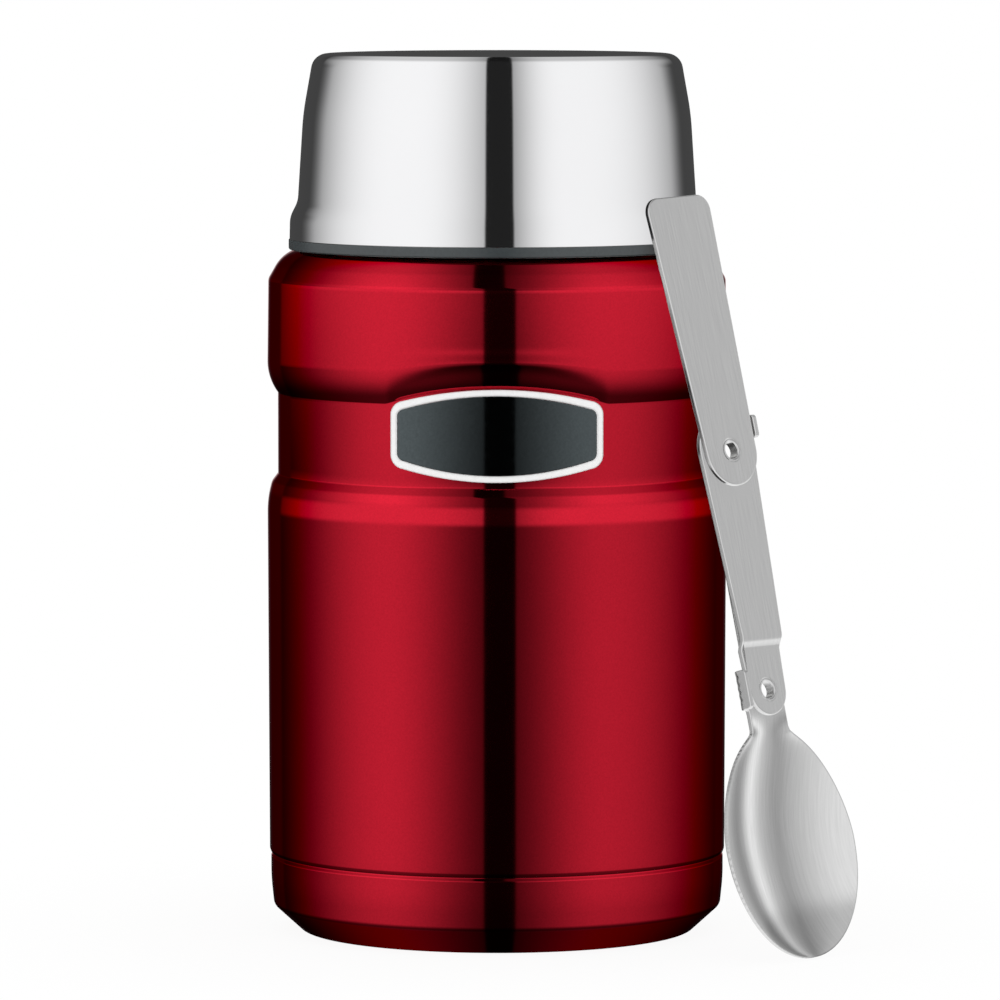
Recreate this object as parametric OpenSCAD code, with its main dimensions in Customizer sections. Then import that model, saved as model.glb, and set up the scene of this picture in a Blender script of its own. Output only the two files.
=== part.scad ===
// Vacuum-insulated food jar with a plug stopper, a cup lid and a folding spoon.
// The jar stands on z = 0 with its axis on Z and its badge towards -Y.
// The spoon leans on the drum at the front right. All lengths are millimetres.

/* [Drum] */
// Diameter of the drum
drum_d = 100; // [94:0.5:110]
// Thickness of every steel sheet of the jar
steel_t = 0.6; // [0.4:0.05:0.8]
// Height of the seam where the drum ends above the bottom cup
seam_z = 17.2; // [14:0.2:22]
// Depth of the waist, from the drum's surface
waist_depth = 2.3; // [1.2:0.1:3]
// Height of the middle of the waist's lower flank
waist_low_z = 97.3; // [88:0.5:98]
// Height of the middle of the waist's upper flank
waist_high_z = 119.8; // [119:0.5:126]
// Height of each flank of the waist
flank_h = 2.6; // [2.2:0.1:4]
// Rounding of the flanks of the waist
flank_r = 4; // [1:0.1:4]
// Width of the arch that the waist's upper edge makes over the badge
arch_w = 52; // [44:0.5:56]
// Rise of the arch at the front
arch_rise = 5; // [3:0.2:7]
// Height of the shoulder's flat top
shoulder_z = 149; // [144:0.5:156]
// Rounding of the shoulder
shoulder_r = 9.5; // [5:0.1:9.5]
// Width of the shoulder, from the drum to the neck
shoulder_w = 10.8; // [10.8:0.1:13]
// Height of the lip above the shoulder
neck_h = 13; // [11:0.5:18]

/* [Base] */
// Rounding of the bottom edge
base_r = 6; // [3:0.2:8]
// Width of the flat ring that the jar stands on
foot_w = 2.6; // [1.5:0.1:5]
// Depth of the recess under the base
recess_h = 2.2; // [1.2:0.1:3]
// Width of the slope between the foot ring and the recess
recess_slope = 2.4; // [1.5:0.1:4]
// Height of the bottom cup's skirt inside the drum
skirt_h = 5; // [3:0.5:8]
// Thickness of the disc that covers the recess
cover_disc_t = 0.8; // [0.5:0.1:1]
// Radius of the dimple round the evacuation hole
dimple_r = 5; // [4:0.5:8]
// Depth of the dimple
dimple_h = 2.4; // [1.8:0.1:2.6]
// Diameter of the evacuation hole
evac_d = 2; // [1.5:0.1:3]
// Distance of the getter from the axis
getter_x = 22; // [14:1:30]
// Diameter of the getter
getter_d = 8; // [5:0.5:10]
// Thickness of the getter
getter_t = 1.6; // [1:0.1:2.2]

/* [Vessel] */
// Vacuum gap between the waist and the vessel
vacuum_gap = 3.5; // [2.5:0.1:5]
// Height of the vessel's floor above the base
vessel_floor_z = 8; // [7.6:0.1:12]
// Rounding of the vessel's floor
vessel_floor_r = 8; // [4:0.5:15]
// Height of the vessel's shoulder below the drum's shoulder
vessel_shoulder_drop = 12; // [10:0.5:16]
// Gap between the two walls of the neck
neck_gap = 1; // [0.6:0.1:1.4]
// Thickness of the foil round the vessel
foil_t = 0.15; // [0.1:0.05:0.3]
// Height of the foil
foil_h = 108; // [80:1:112]

/* [Badge] */
// Width of the badge
badge_w = 45.2; // [30:0.2:46]
// Gap between the badge and the edges of the waist, above and below its middle
badge_margin = 1.05; // [0.8:0.05:2]
// Bow of the badge's long edges
badge_bow = 3.4; // [2.8:0.1:5]
// Rounding of the badge's corners
badge_corner_r = 3; // [1:0.1:3.2]
// Width of the badge's rim
badge_rim = 1.4; // [0.8:0.1:2]
// Thickness of the badge's rim
badge_t = 0.9; // [0.6:0.1:1.4]
// Thickness of the badge's field
badge_field_t = 0.5; // [0.3:0.1:0.8]

/* [Stopper] */
// Thickness of the seal on the lip
seal_t = 0.8; // [0.6:0.1:2]
// Thickness of the stopper's flange
flange_t = 5.2; // [4:0.2:7]
// Reach of the flange past the neck
flange_reach = 0.5; // [0:0.1:0.8]
// Depth of the plug below the lip
plug_depth = 26; // [20:0.5:34]
// Thread room between the plug and the mouth
plug_gap = 0.4; // [0.3:0.05:0.8]
// Wall of the plug
plug_wall = 1.7; // [1.2:0.1:2.5]
// Depth of the well for the folded spoon
well_depth = 14; // [12:0.5:16]
// Thickness of the well's floor
well_floor_t = 2; // [1.2:0.1:3]
// Thickness of the plug's lower cover
plug_cover_t = 2; // [1.2:0.1:3]
// Height of the cover's spigot inside the plug
spigot_h = 4; // [2:0.5:6]
// Wall of the cover's spigot
spigot_wall = 1.4; // [1:0.1:2]
// Number of grip notches round the flange
grip_count = 30; // [12:2:40]
// Depth of the grip notches
grip_depth = 0.7; // [0.4:0.1:1]

/* [Lid] */
// Thickness of the lid's steel
lid_t = 0.5; // [0.4:0.05:0.7]
// Height of the lid's steel
lid_h = 40.2; // [36:0.2:50]
// Reach of the lid's flared foot past its side
lid_flare = 1.8; // [1.4:0.1:2.6]
// Height of the lid's flared foot
lid_foot_h = 4.8; // [3:0.2:8]
// Height of the slope above the flared foot
lid_slope_h = 3.3; // [2.5:0.1:5]
// Height of the bend in the lid's side
lid_bend_h = 27.2; // [20:0.2:32]
// Draw-in of the lid's side at the bend
lid_bend_in = 1.2; // [0.6:0.1:2]
// Draw-in of the lid's side at the top
lid_top_in = 3.5; // [2.6:0.1:5]
// Rounding of the lid's top edge
lid_top_r = 3.5; // [2.9:0.1:4.5]
// Thread room between the neck and the liner
lid_thread_room = 1.6; // [1.4:0.1:2.4]
// Air gap between the liner and the steel
lid_air = 0.8; // [0.4:0.1:1.4]
// Wall of the liner
liner_t = 1.2; // [0.8:0.1:1.6]
// Height of the trim ring under the lid's steel
trim_h = 2.2; // [1.4:0.1:4]
// Width of the trim ring
trim_w = 1.2; // [1:0.1:2]
// Reach of the trim ring past the lid's steel
trim_reach = 0.2; // [0:0.05:0.4]

/* [Spoon] */
// Thickness of the spoon's sheet
spoon_t = 1.2; // [0.8:0.1:1.4]
// Width of the bowl
bowl_w = 38.8; // [32:0.2:42]
// Depth of the bowl
bowl_depth = 8; // [5:0.2:9]
// Distance from the tip to the bowl's widest place
bowl_wide_s = 24.5; // [20:0.5:28]
// Distance from the tip to the end of the bowl's throat
bowl_len = 53.7; // [50:0.1:56]
// Length of the straight throat at the end of the bowl
throat_len = 4; // [2:0.5:6]
// Width of the tang
tang_w = 11.2; // [10:0.1:12]
// Distance from the end of the throat to the lower rivet
tang_len = 4.1; // [4:0.1:8]
// Distance between the two rivets
link_len = 51.6; // [46:0.2:58]
// Width of the link at the lower rivet
link_low_w = 11; // [9:0.1:11.4]
// Width of the link at the upper rivet
link_high_w = 16.4; // [15:0.1:18]
// Distance from the lower rivet to the middle of the link's joggle
joggle_s = 10; // [9:0.2:16]
// Length of the link's joggle
joggle_len = 3; // [2.6:0.1:5]
// Distance from the upper rivet to the handle's end
handle_len = 55.7; // [48:0.2:56]
// Width of the handle at the rivet
handle_low_w = 15.4; // [14:0.1:16.2]
// Width of the handle at its end
handle_high_w = 19.6; // [16:0.1:20]
// Rounding of the handle's end corners
handle_corner_r = 3.5; // [1:0.1:5]
// Play of the opened handle, turned back from the link's line
handle_play = 2.2; // [1.5:0.1:6]
// Outer diameter of the hollow rivets
rivet_d = 4.6; // [4.2:0.1:6]
// Wall of the hollow rivets
rivet_wall = 0.45; // [0.4:0.05:0.8]
// Width of the rivets' countersunk flare
rivet_flare = 0.3; // [0.2:0.05:0.5]
// Height of the rivets above the plates, at both ends
rivet_proud = 0.05; // [0.03:0.01:0.08]
// Height of the stop tabs along the spoon
tab_len = 5; // [3:0.2:6]
// Distance of the upper tab above the upper rivet
tab_s = 2.4; // [1.5:0.1:4]
// Height of the lower lug along the spoon
lug_len = 8.8; // [6:0.2:9]
// Lean of the spoon towards the jar
spoon_lean = 15; // [10:0.1:18]
// Turn of the spoon's face from the front
spoon_turn = 45; // [40:1:50]
// Sideways place of the spoon's tip, from the line through the axis
spoon_side = 10.3; // [8:0.1:14]

/* [Fits] */
// Clearance between pieces that are pressed, welded or glued together
seat_fit = 0.04; // [0.02:0.01:0.08]
// Radial clearance of the rivets in the pieces that turn on them
rivet_fit = 0.05; // [0.03:0.01:0.08]
// Gap between the spoon's plates
plate_gap = 0.1; // [0.08:0.01:0.2]
// Side clearance between moving pieces
side_fit = 0.3; // [0.25:0.05:0.5]
// Gap between the trim ring and the shoulder
lid_gap = 0.3; // [0.2:0.05:0.6]
// Gap between the leaning spoon and the drum
lean_gap = 0.4; // [0.3:0.05:0.6]
// Height of the spoon's tip above the ground
tip_z = 0.3; // [0.1:0.1:1]

/* [Hidden] */
$fn = 96;

RED = [0.72, 0.07, 0.14];
STEEL = [0.78, 0.79, 0.80];
DARK = [0.12, 0.13, 0.14];
BIG = 200;       // longer than any piece
ARC_STEPS = 8;   // straight steps in a rounded corner

// Jar radii and heights
drum_r = drum_d / 2;
waist_r = drum_r - waist_depth;
neck_r = drum_r - shoulder_w;
mouth_r = neck_r - 2 * steel_t - neck_gap;
lip_z = shoulder_z + neck_h;
shoulder_arc_r = drum_r - shoulder_r;       // centre of the shoulder's rounding
shoulder_arc_z = shoulder_z - shoulder_r;
neck_fillet = 1.2;
flank_half = flank_h / 2;
flank_start = flank_r * tan(atan2(waist_depth, flank_h) / 2);
waist_bottom_z = waist_low_z + flank_half + flank_start;
waist_top_z = waist_high_z - flank_half - flank_start;

// Arch over the badge: a plane through the waist's upper edge, rising to the front
arch_y = sqrt(pow(waist_r, 2) - pow(arch_w / 2, 2));
arch_slope = atan2(arch_rise, waist_r - arch_y);

// Base
cup_r = drum_r - steel_t - seat_fit;
foot_in_r = cup_r - base_r - foot_w;
recess_r = foot_in_r - recess_slope;
recess_fillet = 0.8;
cup_floor_z = recess_h + steel_t;
dimple_z = recess_h + dimple_h;
dimple_slope = 1.6;
bead_r = dimple_r - 1.6;
bead_h = 1;

// Vessel
vessel_r = waist_r - 2 * steel_t - vacuum_gap;
vessel_out_r = vessel_r + steel_t;
mouth_out_r = mouth_r + steel_t;
vessel_shoulder_z = shoulder_z - vessel_shoulder_drop;
vessel_neck_z = vessel_shoulder_z + vessel_r - mouth_r;
foil_z = vessel_floor_z + vessel_floor_r + 4;

// Badge
badge_z = (waist_bottom_z + waist_top_z + arch_rise) / 2;
badge_h = waist_top_z + arch_rise - waist_bottom_z - 2 * badge_margin;

// Stopper
plug_r = mouth_r - plug_gap;
well_r = plug_r - plug_wall;
flange_r = neck_r + flange_reach;
flange_z = lip_z + seal_t;
stopper_top_z = flange_z + flange_t;
well_floor_z = stopper_top_z - well_depth;
plug_bottom_z = lip_z - plug_depth;
plug_cover_z = plug_bottom_z + plug_cover_t;
spigot_r = well_r - seat_fit;
notch_r = 2.2;

// Lid
lid_side_r = neck_r + lid_thread_room + liner_t + lid_air + lid_t;
lid_base_r = lid_side_r + lid_flare;
trim_r = lid_base_r + trim_reach;
trim_in_r = trim_r - trim_w;
trim_z = shoulder_arc_z
    + sqrt(pow(shoulder_r + lid_gap, 2) - pow(trim_in_r - shoulder_arc_r, 2));
lid_z = trim_z + trim_h + seat_fit;
lid_foot_in = 0.1;    // draw-in of the flared foot at its top
lid_top_z = lid_z + lid_h;
liner_lip_h = 1.5;

// Lid's outer surface, from its lower edge to the middle of its top
lid_path = [[lid_base_r, lid_z, 0],
            [lid_base_r - lid_foot_in, lid_z + lid_foot_h, 6],
            [lid_side_r, lid_z + lid_foot_h + lid_slope_h, 6],
            [lid_side_r - lid_bend_in, lid_z + lid_bend_h, 60],
            [lid_side_r - lid_top_in, lid_top_z, lid_top_r],
            [0, lid_top_z, 0]];

// Spoon: s runs along the spoon from its tip, n is the height of a plate's back face
tang_half = tang_w / 2;
lower_s = bowl_len + tang_len;
upper_s = lower_s + link_len;
joggle_gap = 0.1;     // how much further the link is set off than its own thickness
link_low_n = spoon_t + plate_gap;
link_high_n = link_low_n + spoon_t + plate_gap + joggle_gap;
handle_n = link_high_n + spoon_t + plate_gap;
lug_top_n = handle_n - 4 * plate_gap;
rivet_r = rivet_d / 2;
link_slope = (link_high_w - link_low_w) / 2 / link_len;
lug_x = link_low_w / 2 + lug_len * link_slope + side_fit;
tab_x = handle_low_w / 2
    + (handle_high_w - handle_low_w) / 2 * (tab_s + tab_len) / handle_len + side_fit;
bend_r = 1.4;    // outer rounding of the bent tabs

// Exponents that shape the bowl: 2 is an ellipse in its outline and a parabola across it
bowl_wall_power = 2.2;       // across the bowl, more makes its walls steeper
bowl_tip_power = 2.1;        // outline round the tip, more makes it fuller
bowl_throat_power = 1.7;     // outline towards the throat
tang_blend_power = 6;        // outline where it meets the tang, more makes the corner sharper
tip_sink_power = 1.4;        // depth from the tip, more makes its floor slope longer
throat_sink_power = 1.6;     // depth towards the tang

// Place of the tip: the handle's back lies lean_gap off the shoulder's rounding
tip_out = (shoulder_arc_r * cos(spoon_lean) + shoulder_arc_z * sin(spoon_lean)
    + shoulder_r + lean_gap - handle_n - tip_z * sin(spoon_lean)) / cos(spoon_lean);

// ---- Profiles ----

function unit(v) = v / norm(v);
function left(v) = [-v.y, v.x];
function turned(v, a) = [v.x * cos(a) - v.y * sin(a), v.x * sin(a) + v.y * cos(a)];
function xy(p) = [p.x, p.y];
function reversed(list) = [for (i = [len(list) - 1:-1:0]) list[i]];

// Points of the rounding of radius r at corner b, coming from a and going to c
function corner(a, b, c, r) =
    let (u = unit(a - b), v = unit(c - b), half = acos(u * v) / 2)
    r <= 0 || half > 89.9 ? [b] :
    let (centre = b + unit(u + v) * r / sin(half),
         start = b + u * r / tan(half) - centre,
         side = (u.x * v.y - u.y * v.x) > 0 ? -1 : 1)
    [for (i = [0:ARC_STEPS]) centre + turned(start, side * (180 - 2 * half) * i / ARC_STEPS)];

// An open path of corners [x, y, rounding] as points
function rounded(path) =
    [for (i = [0:len(path) - 1])
        each (i == 0 || i == len(path) - 1 ? [xy(path[i])]
            : corner(xy(path[i - 1]), xy(path[i]), xy(path[i + 1]), path[i].z))];

// A closed path of corners [x, y, rounding] as points
function rounded_loop(path) =
    let (n = len(path))
    [for (i = [0:n - 1])
        each corner(xy(path[(i + n - 1) % n]), xy(path[i]), xy(path[(i + 1) % n]), path[i].z)];

// The same path moved by t to the left of its direction, its roundings kept concentric
function moved(path, t) =
    let (last = len(path) - 1)
    [for (i = [0:last])
        let (b = xy(path[i]),
             before = left(unit(i == 0 ? xy(path[1]) - b : b - xy(path[i - 1]))),
             after = left(unit(i == last ? b - xy(path[last - 1]) : xy(path[i + 1]) - b)),
             bend = before.x * after.y - before.y * after.x,
             p = b + (before + after) * t / (1 + before * after),
             r = path[i].z)
        [p.x, p.y, r <= 0 ? 0 : max(0.05, bend > 0 ? r - t : r + t)]];

// A sheet of thickness t on the left of a path, starting at distance t0 from it
module sheet(path, t, t0 = 0) {
    polygon(concat(rounded(moved(path, t0)), reversed(rounded(moved(path, t0 + t)))));
}

module ring(r_in, r_out, z, h) {
    translate([0, 0, z]) difference() {
        cylinder(r = r_out, h = h);
        translate([0, 0, -1]) cylinder(r = r_in, h = h + 2);
    }
}

// ---- Jar ----

// Outer surface of the drum and the neck, from the seam to the lip
drum_path = [[drum_r, seam_z, 0],
             [drum_r, waist_low_z - flank_half, flank_r],
             [waist_r, waist_low_z + flank_half, flank_r],
             [waist_r, waist_high_z - flank_half, flank_r],
             [drum_r, waist_high_z + flank_half, flank_r],
             [drum_r, shoulder_z, shoulder_r],
             [neck_r, shoulder_z, neck_fillet],
             [neck_r, lip_z - steel_t, 0]];

// Solid inside the drum's surface moved inwards by t, with the arch pressed in above the badge
module drum_form(t) {
    path = rounded(moved(drum_path, t));
    difference() {
        rotate_extrude() polygon(concat([[0, seam_z]], path, [[0, lip_z - steel_t]]));
        arch_press(t);
    }
}

// Everything outside the waist and under the sloping plane of the arch
module arch_press(t) {
    from_z = badge_z;
    intersection() {
        ring(waist_r - t, drum_r + 5, from_z, BIG);
        translate([0, -arch_y, waist_top_z + t / cos(arch_slope)])
            rotate([-arch_slope, 0, 0])
                translate([-BIG / 2, -BIG / 2, -BIG]) cube(BIG);
    }
}

module outer_shell() {
    color(RED) difference() {
        drum_form(0);
        intersection() {
            drum_form(steel_t);
            translate([0, 0, seam_z - 1]) cylinder(r = drum_r, h = BIG);
        }
        // opens both ends of the shell
        translate([0, 0, seam_z - 1]) cylinder(r = drum_r - steel_t, h = 2);
        translate([0, 0, lip_z - steel_t - 1]) cylinder(r = neck_r - steel_t, h = 2);
    }
}

// Underside and outside of the bottom cup, from the axis to the top of its skirt
cup_path = [[0, dimple_z, 0],
            [dimple_r, dimple_z, recess_fillet],
            [dimple_r + dimple_slope, recess_h, recess_fillet],
            [recess_r, recess_h, recess_fillet],
            [foot_in_r, 0, recess_fillet],
            [cup_r, 0, base_r],
            [cup_r, seam_z + skirt_h, 0]];

module bottom_cup() {
    color(RED) difference() {
        rotate_extrude() sheet(cup_path, steel_t);
        translate([0, 0, dimple_z - 1]) cylinder(d = evac_d, h = steel_t + 2);
    }
}

module base_disc() {
    edge_r = 0.3;
    disc_r = recess_r - recess_fillet;
    low_z = recess_h - cover_disc_t;
    color(STEEL) rotate_extrude()
        polygon(rounded([[0, low_z, 0], [disc_r, low_z, edge_r], [disc_r, recess_h, 0],
                         [0, recess_h, 0]]));
}

// Outside of the vessel, from the axis to the rolled lip that covers the neck's edge
vessel_path = [[0, vessel_floor_z - steel_t, 0],
               [vessel_out_r, vessel_floor_z - steel_t, vessel_floor_r + steel_t],
               [vessel_out_r, vessel_shoulder_z, 6],
               [mouth_out_r, vessel_neck_z, 4],
               [mouth_out_r, lip_z - steel_t, 0.3],
               [neck_r, lip_z - steel_t, 0]];

module inner_vessel() {
    color(STEEL) rotate_extrude() sheet(vessel_path, steel_t);
}

module foil_wrap() {
    in_r = vessel_out_r + seat_fit;
    color([0.80, 0.45, 0.30]) ring(in_r, in_r + foil_t, foil_z, foil_h);
}

module getter() {
    color([0.45, 0.46, 0.48])
        translate([getter_x, 0, cup_floor_z]) cylinder(d = getter_d, h = getter_t);
}

module seal_bead() {
    color([0.30, 0.32, 0.34]) {
        translate([0, 0, dimple_z - bead_h]) cylinder(r = bead_r, h = bead_h);
        translate([0, 0, dimple_z - bead_h])
            cylinder(r = evac_d / 2 - seat_fit, h = bead_h + steel_t);
    }
}

// Outline of the badge, made smaller by d all round
module badge_outline(d) {
    half_w = badge_w / 2 - d;
    half_h = badge_h / 2 - d;
    side_h = half_h - badge_bow;
    bow_r = (pow(half_w, 2) + pow(badge_bow, 2)) / (2 * badge_bow);
    half_turn = asin(half_w / bow_r);
    steps = 6;
    bow = [for (i = [-steps:steps]) let (a = half_turn * i / steps)
        [bow_r * sin(a), half_h - bow_r * (1 - cos(a)),
         abs(i) == steps ? max(0.3, badge_corner_r - d) : 0]];
    polygon(rounded_loop(concat(bow, [for (p = reversed(bow)) [p.x, -p.y, p.z]])));
}

// A layer of thickness t on the waist, over a flat outline seen from the front
module on_waist(t) {
    intersection() {
        ring(waist_r + seat_fit, waist_r + seat_fit + t, badge_z - badge_h, 2 * badge_h);
        translate([0, 0, badge_z]) rotate([90, 0, 0]) linear_extrude(BIG) children();
    }
}

module badge_frame() {
    color([0.90, 0.90, 0.91]) on_waist(badge_t) difference() {
        badge_outline(0);
        badge_outline(badge_rim);
    }
}

module badge_field() {
    color([0.29, 0.32, 0.33]) on_waist(badge_field_t) badge_outline(badge_rim + seat_fit);
}

// ---- Stopper ----

module stopper_seal() {
    color([0.75, 0.75, 0.73]) ring(plug_r + side_fit, neck_r - side_fit, lip_z, seal_t);
}

module stopper_body() {
    color(DARK) difference() {
        rotate_extrude()
            polygon(rounded_loop([[0, well_floor_z - well_floor_t, 0],
                                  [well_r, well_floor_z - well_floor_t, 0],
                                  [well_r, plug_cover_z, 0],
                                  [plug_r, plug_cover_z, 0],
                                  [plug_r, flange_z, 0],
                                  [flange_r, flange_z, 0.6],
                                  [flange_r, stopper_top_z, 1.2],
                                  [well_r, stopper_top_z, 0.8],
                                  [well_r, well_floor_z, 2.5],
                                  [0, well_floor_z, 0]]));
        for (i = [0:grip_count - 1]) rotate([0, 0, 360 * i / grip_count])
            translate([flange_r + notch_r - grip_depth, 0, flange_z + flange_t / 3])
                cylinder(r = notch_r, h = flange_t, $fn = 32);
    }
}

module stopper_foam() {
    gap = 0.2;
    low_z = plug_cover_z + gap;
    high_z = well_floor_z - well_floor_t - gap;
    color([0.93, 0.92, 0.86]) translate([0, 0, low_z])
        cylinder(r = spigot_r - spigot_wall - gap, h = high_z - low_z);
}

module stopper_cover() {
    color(DARK) rotate_extrude()
        polygon(rounded_loop([[0, plug_bottom_z, 0],
                              [plug_r, plug_bottom_z, 1.2],
                              [plug_r, plug_cover_z, 0],
                              [spigot_r, plug_cover_z, 0],
                              [spigot_r, plug_cover_z + spigot_h, 0],
                              [spigot_r - spigot_wall, plug_cover_z + spigot_h, 0],
                              [spigot_r - spigot_wall, plug_cover_z, 0],
                              [0, plug_cover_z, 0]]));
}

// ---- Lid ----

module trim_ring() {
    color(DARK) rotate_extrude()
        polygon(rounded_loop([[trim_in_r, trim_z, 0],
                              [trim_r, trim_z, 0.4],
                              [trim_r, trim_z + trim_h, 0.2],
                              [trim_in_r, trim_z + trim_h, 0]]));
}

module lid_liner() {
    lip_r = lid_base_r - lid_foot_in - lid_t - seat_fit;
    lip_low_z = lid_z + side_fit;
    color(DARK) rotate_extrude() {
        difference() {
            sheet(lid_path, liner_t, lid_t + lid_air);
            translate([0, lid_z - 1]) square([BIG, 1 + side_fit]);
        }
        translate([lid_base_r - lid_t - lid_air - liner_t, lip_low_z])
            square([lip_r - (lid_base_r - lid_t - lid_air - liner_t), liner_lip_h]);
    }
}

module lid_shell() {
    color(STEEL) rotate_extrude() sheet(lid_path, lid_t);
}

// ---- Spoon ----

// Stands the spoon on its tip at the front right, leaning on the drum
module place_spoon() {
    rotate([0, 0, spoon_turn]) translate([spoon_side, -tip_out, tip_z])
        rotate([-spoon_lean, 0, 0]) children();
}

// A plate with its back face at height n, over an outline drawn across and along the spoon
module plate(n, t) {
    rotate([90, 0, 0]) translate([0, 0, n]) linear_extrude(t) children();
}

// A strip across the whole width, over its profile drawn along the spoon as [s, height]
module strip() {
    rotate([90, 0, 90]) translate([0, 0, -BIG / 4]) linear_extrude(BIG / 2)
        rotate(90) children();
}

// Hole for a rivet at distance s, through plates between heights n and n + t
module rivet_hole(s, n, t, fit) {
    translate([0, 1 - n, s]) rotate([90, 0, 0]) cylinder(r = rivet_r + fit, h = t + 2);
}

// Countersink at height n, opening towards the back (side -1) or the front (side 1)
module countersink(s, n, side, fit) {
    translate([0, -n, s]) rotate([90 * side, 0, 0]) translate([0, 0, -rivet_flare])
        cylinder(r1 = rivet_r + fit, r2 = rivet_r + fit + rivet_flare, h = rivet_flare);
}

module rivet(s, n) {
    length = 2 * spoon_t + plate_gap + 2 * rivet_proud;
    translate([0, rivet_proud - n, s]) rotate([90, 0, 0]) rotate_extrude()
        polygon([[rivet_r - rivet_wall, 0], [rivet_r + rivet_flare, 0],
                 [rivet_r, rivet_flare], [rivet_r, length - rivet_flare],
                 [rivet_r + rivet_flare, length], [rivet_r - rivet_wall, length]]);
}

// Half the bowl's width at distance s from the tip: two half ellipses, the fuller one at the tip,
// blended into the tang
function bowl_oval(s) = let (half = s > bowl_wide_s ? bowl_len - throat_len - bowl_wide_s : bowl_wide_s,
                             power = s > bowl_wide_s ? bowl_throat_power : bowl_tip_power)
    bowl_w / 2 * sqrt(1 - pow(min(1, abs(s - bowl_wide_s) / half), power));
function bowl_half(s) = s > bowl_wide_s
    ? pow(pow(bowl_oval(s), tang_blend_power) + pow(tang_half, tang_blend_power), 1 / tang_blend_power)
    : bowl_oval(s);

// Depth of the bowl's middle at distance s from the tip
function bowl_sink(s) = bowl_depth * (s > bowl_wide_s
    ? pow(1 - pow((s - bowl_wide_s) / (bowl_len - bowl_wide_s), 2), throat_sink_power)
    : pow(2 * bowl_oval(s) / bowl_w, tip_sink_power));

// Bowl and throat as one dished sheet: rows along s, points across each row
module bowl() {
    tip_rows = 11;
    throat_rows = 18;
    across = 18;
    tip_s = 0.05;
    rows = concat([for (i = [0:tip_rows - 1])
                      tip_s + (bowl_wide_s - tip_s) * (1 - cos(90 * i / tip_rows))],
                  [for (i = [0:throat_rows])
                      bowl_wide_s + (bowl_len - bowl_wide_s) * i / throat_rows]);
    count = len(rows);
    function row(i, n) = [for (j = [0:across])
        let (k = sin(90 * (2 * j / across - 1)))
        [k * bowl_half(rows[i]), bowl_sink(rows[i]) * (1 - pow(abs(k), bowl_wall_power)) - n, rows[i]]];
    wide = across + 1;
    back = [for (i = [0:count - 1]) each row(i, 0)];
    front = [for (i = [0:count - 1]) each row(i, spoon_t)];
    top = count * wide;
    function quads(a, b, c, d) = [[a, b, c], [a, c, d]];
    sheets = [for (i = [0:count - 2], j = [0:across - 1])
        let (p = i * wide + j, q = p + wide)
        each concat(quads(p, p + 1, q + 1, q),
                    quads(top + q, top + q + 1, top + p + 1, top + p))];
    sides = [for (i = [0:count - 2]) let (p = i * wide, q = p + wide)
        each concat(quads(p, q, top + q, top + p),
                    quads(q + across, p + across, top + p + across, top + q + across))];
    ends = [for (j = [0:across - 1]) let (q = (count - 1) * wide + j)
        each concat(quads(j + 1, j, top + j, top + j + 1),
                    quads(q, q + 1, top + q + 1, top + q))];
    polyhedron(concat(back, front), concat(sheets, sides, ends), convexity = 6);
}

// Bowl, tang and the lug that stops the link when it stands straight
module spoon_bowl() {
    lug_out = lug_x + spoon_t;
    color(STEEL) place_spoon() difference() {
        union() {
            bowl();
            plate(0, spoon_t) {
                translate([0, lower_s]) circle(r = tang_half);
                translate([-tang_half, bowl_len]) square([tang_w, tang_len]);
            }
            translate([0, 0, lower_s - tang_len])
                linear_extrude(lug_len)
                    mirror([0, 1]) mirror([1, 0])
                        sheet([[tang_half - 1, 0, 0], [lug_out, 0, bend_r], [lug_out, lug_top_n, 0]],
                              spoon_t);
        }
        rivet_hole(lower_s, 0, spoon_t, seat_fit);
        countersink(lower_s, 0, -1, seat_fit);
    }
}

module lower_rivet() {
    color(STEEL) place_spoon() rivet(lower_s, 0);
}

// Strip with a joggle between the rivets, and the tab that stops the handle
module spoon_link() {
    low = lower_s - link_low_w;
    high = upper_s + link_high_w;
    joggle = lower_s + joggle_s;
    color(STEEL) place_spoon() difference() {
        union() {
            intersection() {
                plate(0, BIG / 4) {
                    translate([0, lower_s]) circle(d = link_low_w);
                    translate([0, upper_s]) circle(d = link_high_w);
                    polygon([[-link_low_w / 2, lower_s], [link_low_w / 2, lower_s],
                             [link_high_w / 2, upper_s], [-link_high_w / 2, upper_s]]);
                    translate([0, upper_s + tab_s]) square([tab_x + spoon_t / 2, tab_len]);
                }
                strip() sheet([[low, link_low_n, 0],
                               [joggle - joggle_len / 2, link_low_n, bend_r],
                               [joggle + joggle_len / 2, link_high_n, bend_r],
                               [high, link_high_n, 0]], spoon_t);
            }
            translate([0, 0, upper_s + tab_s]) linear_extrude(tab_len)
                mirror([0, 1])
                    sheet([[handle_low_w / 2 - 1, link_high_n, 0],
                           [tab_x + spoon_t, link_high_n, bend_r],
                           [tab_x + spoon_t, handle_n + spoon_t, 0]], spoon_t);
        }
        rivet_hole(lower_s, 0, BIG / 8, rivet_fit);
        countersink(lower_s, link_low_n + spoon_t, 1, rivet_fit);
        rivet_hole(upper_s, link_high_n, spoon_t, seat_fit);
        countersink(upper_s, link_high_n, -1, seat_fit);
    }
}

module upper_rivet() {
    color(STEEL) place_spoon() rivet(upper_s, link_high_n);
}

// Strip that turns on the upper rivet
module spoon_handle() {
    low = handle_low_w / 2;
    high = handle_high_w / 2;
    color(STEEL) place_spoon() difference() {
        translate([0, 0, upper_s]) rotate([0, -handle_play, 0]) plate(handle_n, spoon_t) {
            circle(r = low);
            polygon(rounded_loop([[-low, 0, 0], [low, 0, 0], [high, handle_len, handle_corner_r],
                                  [-high, handle_len, handle_corner_r]]));
        }
        rivet_hole(upper_s, handle_n, spoon_t, rivet_fit);
        countersink(upper_s, handle_n + spoon_t, 1, rivet_fit);
    }
}

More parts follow.
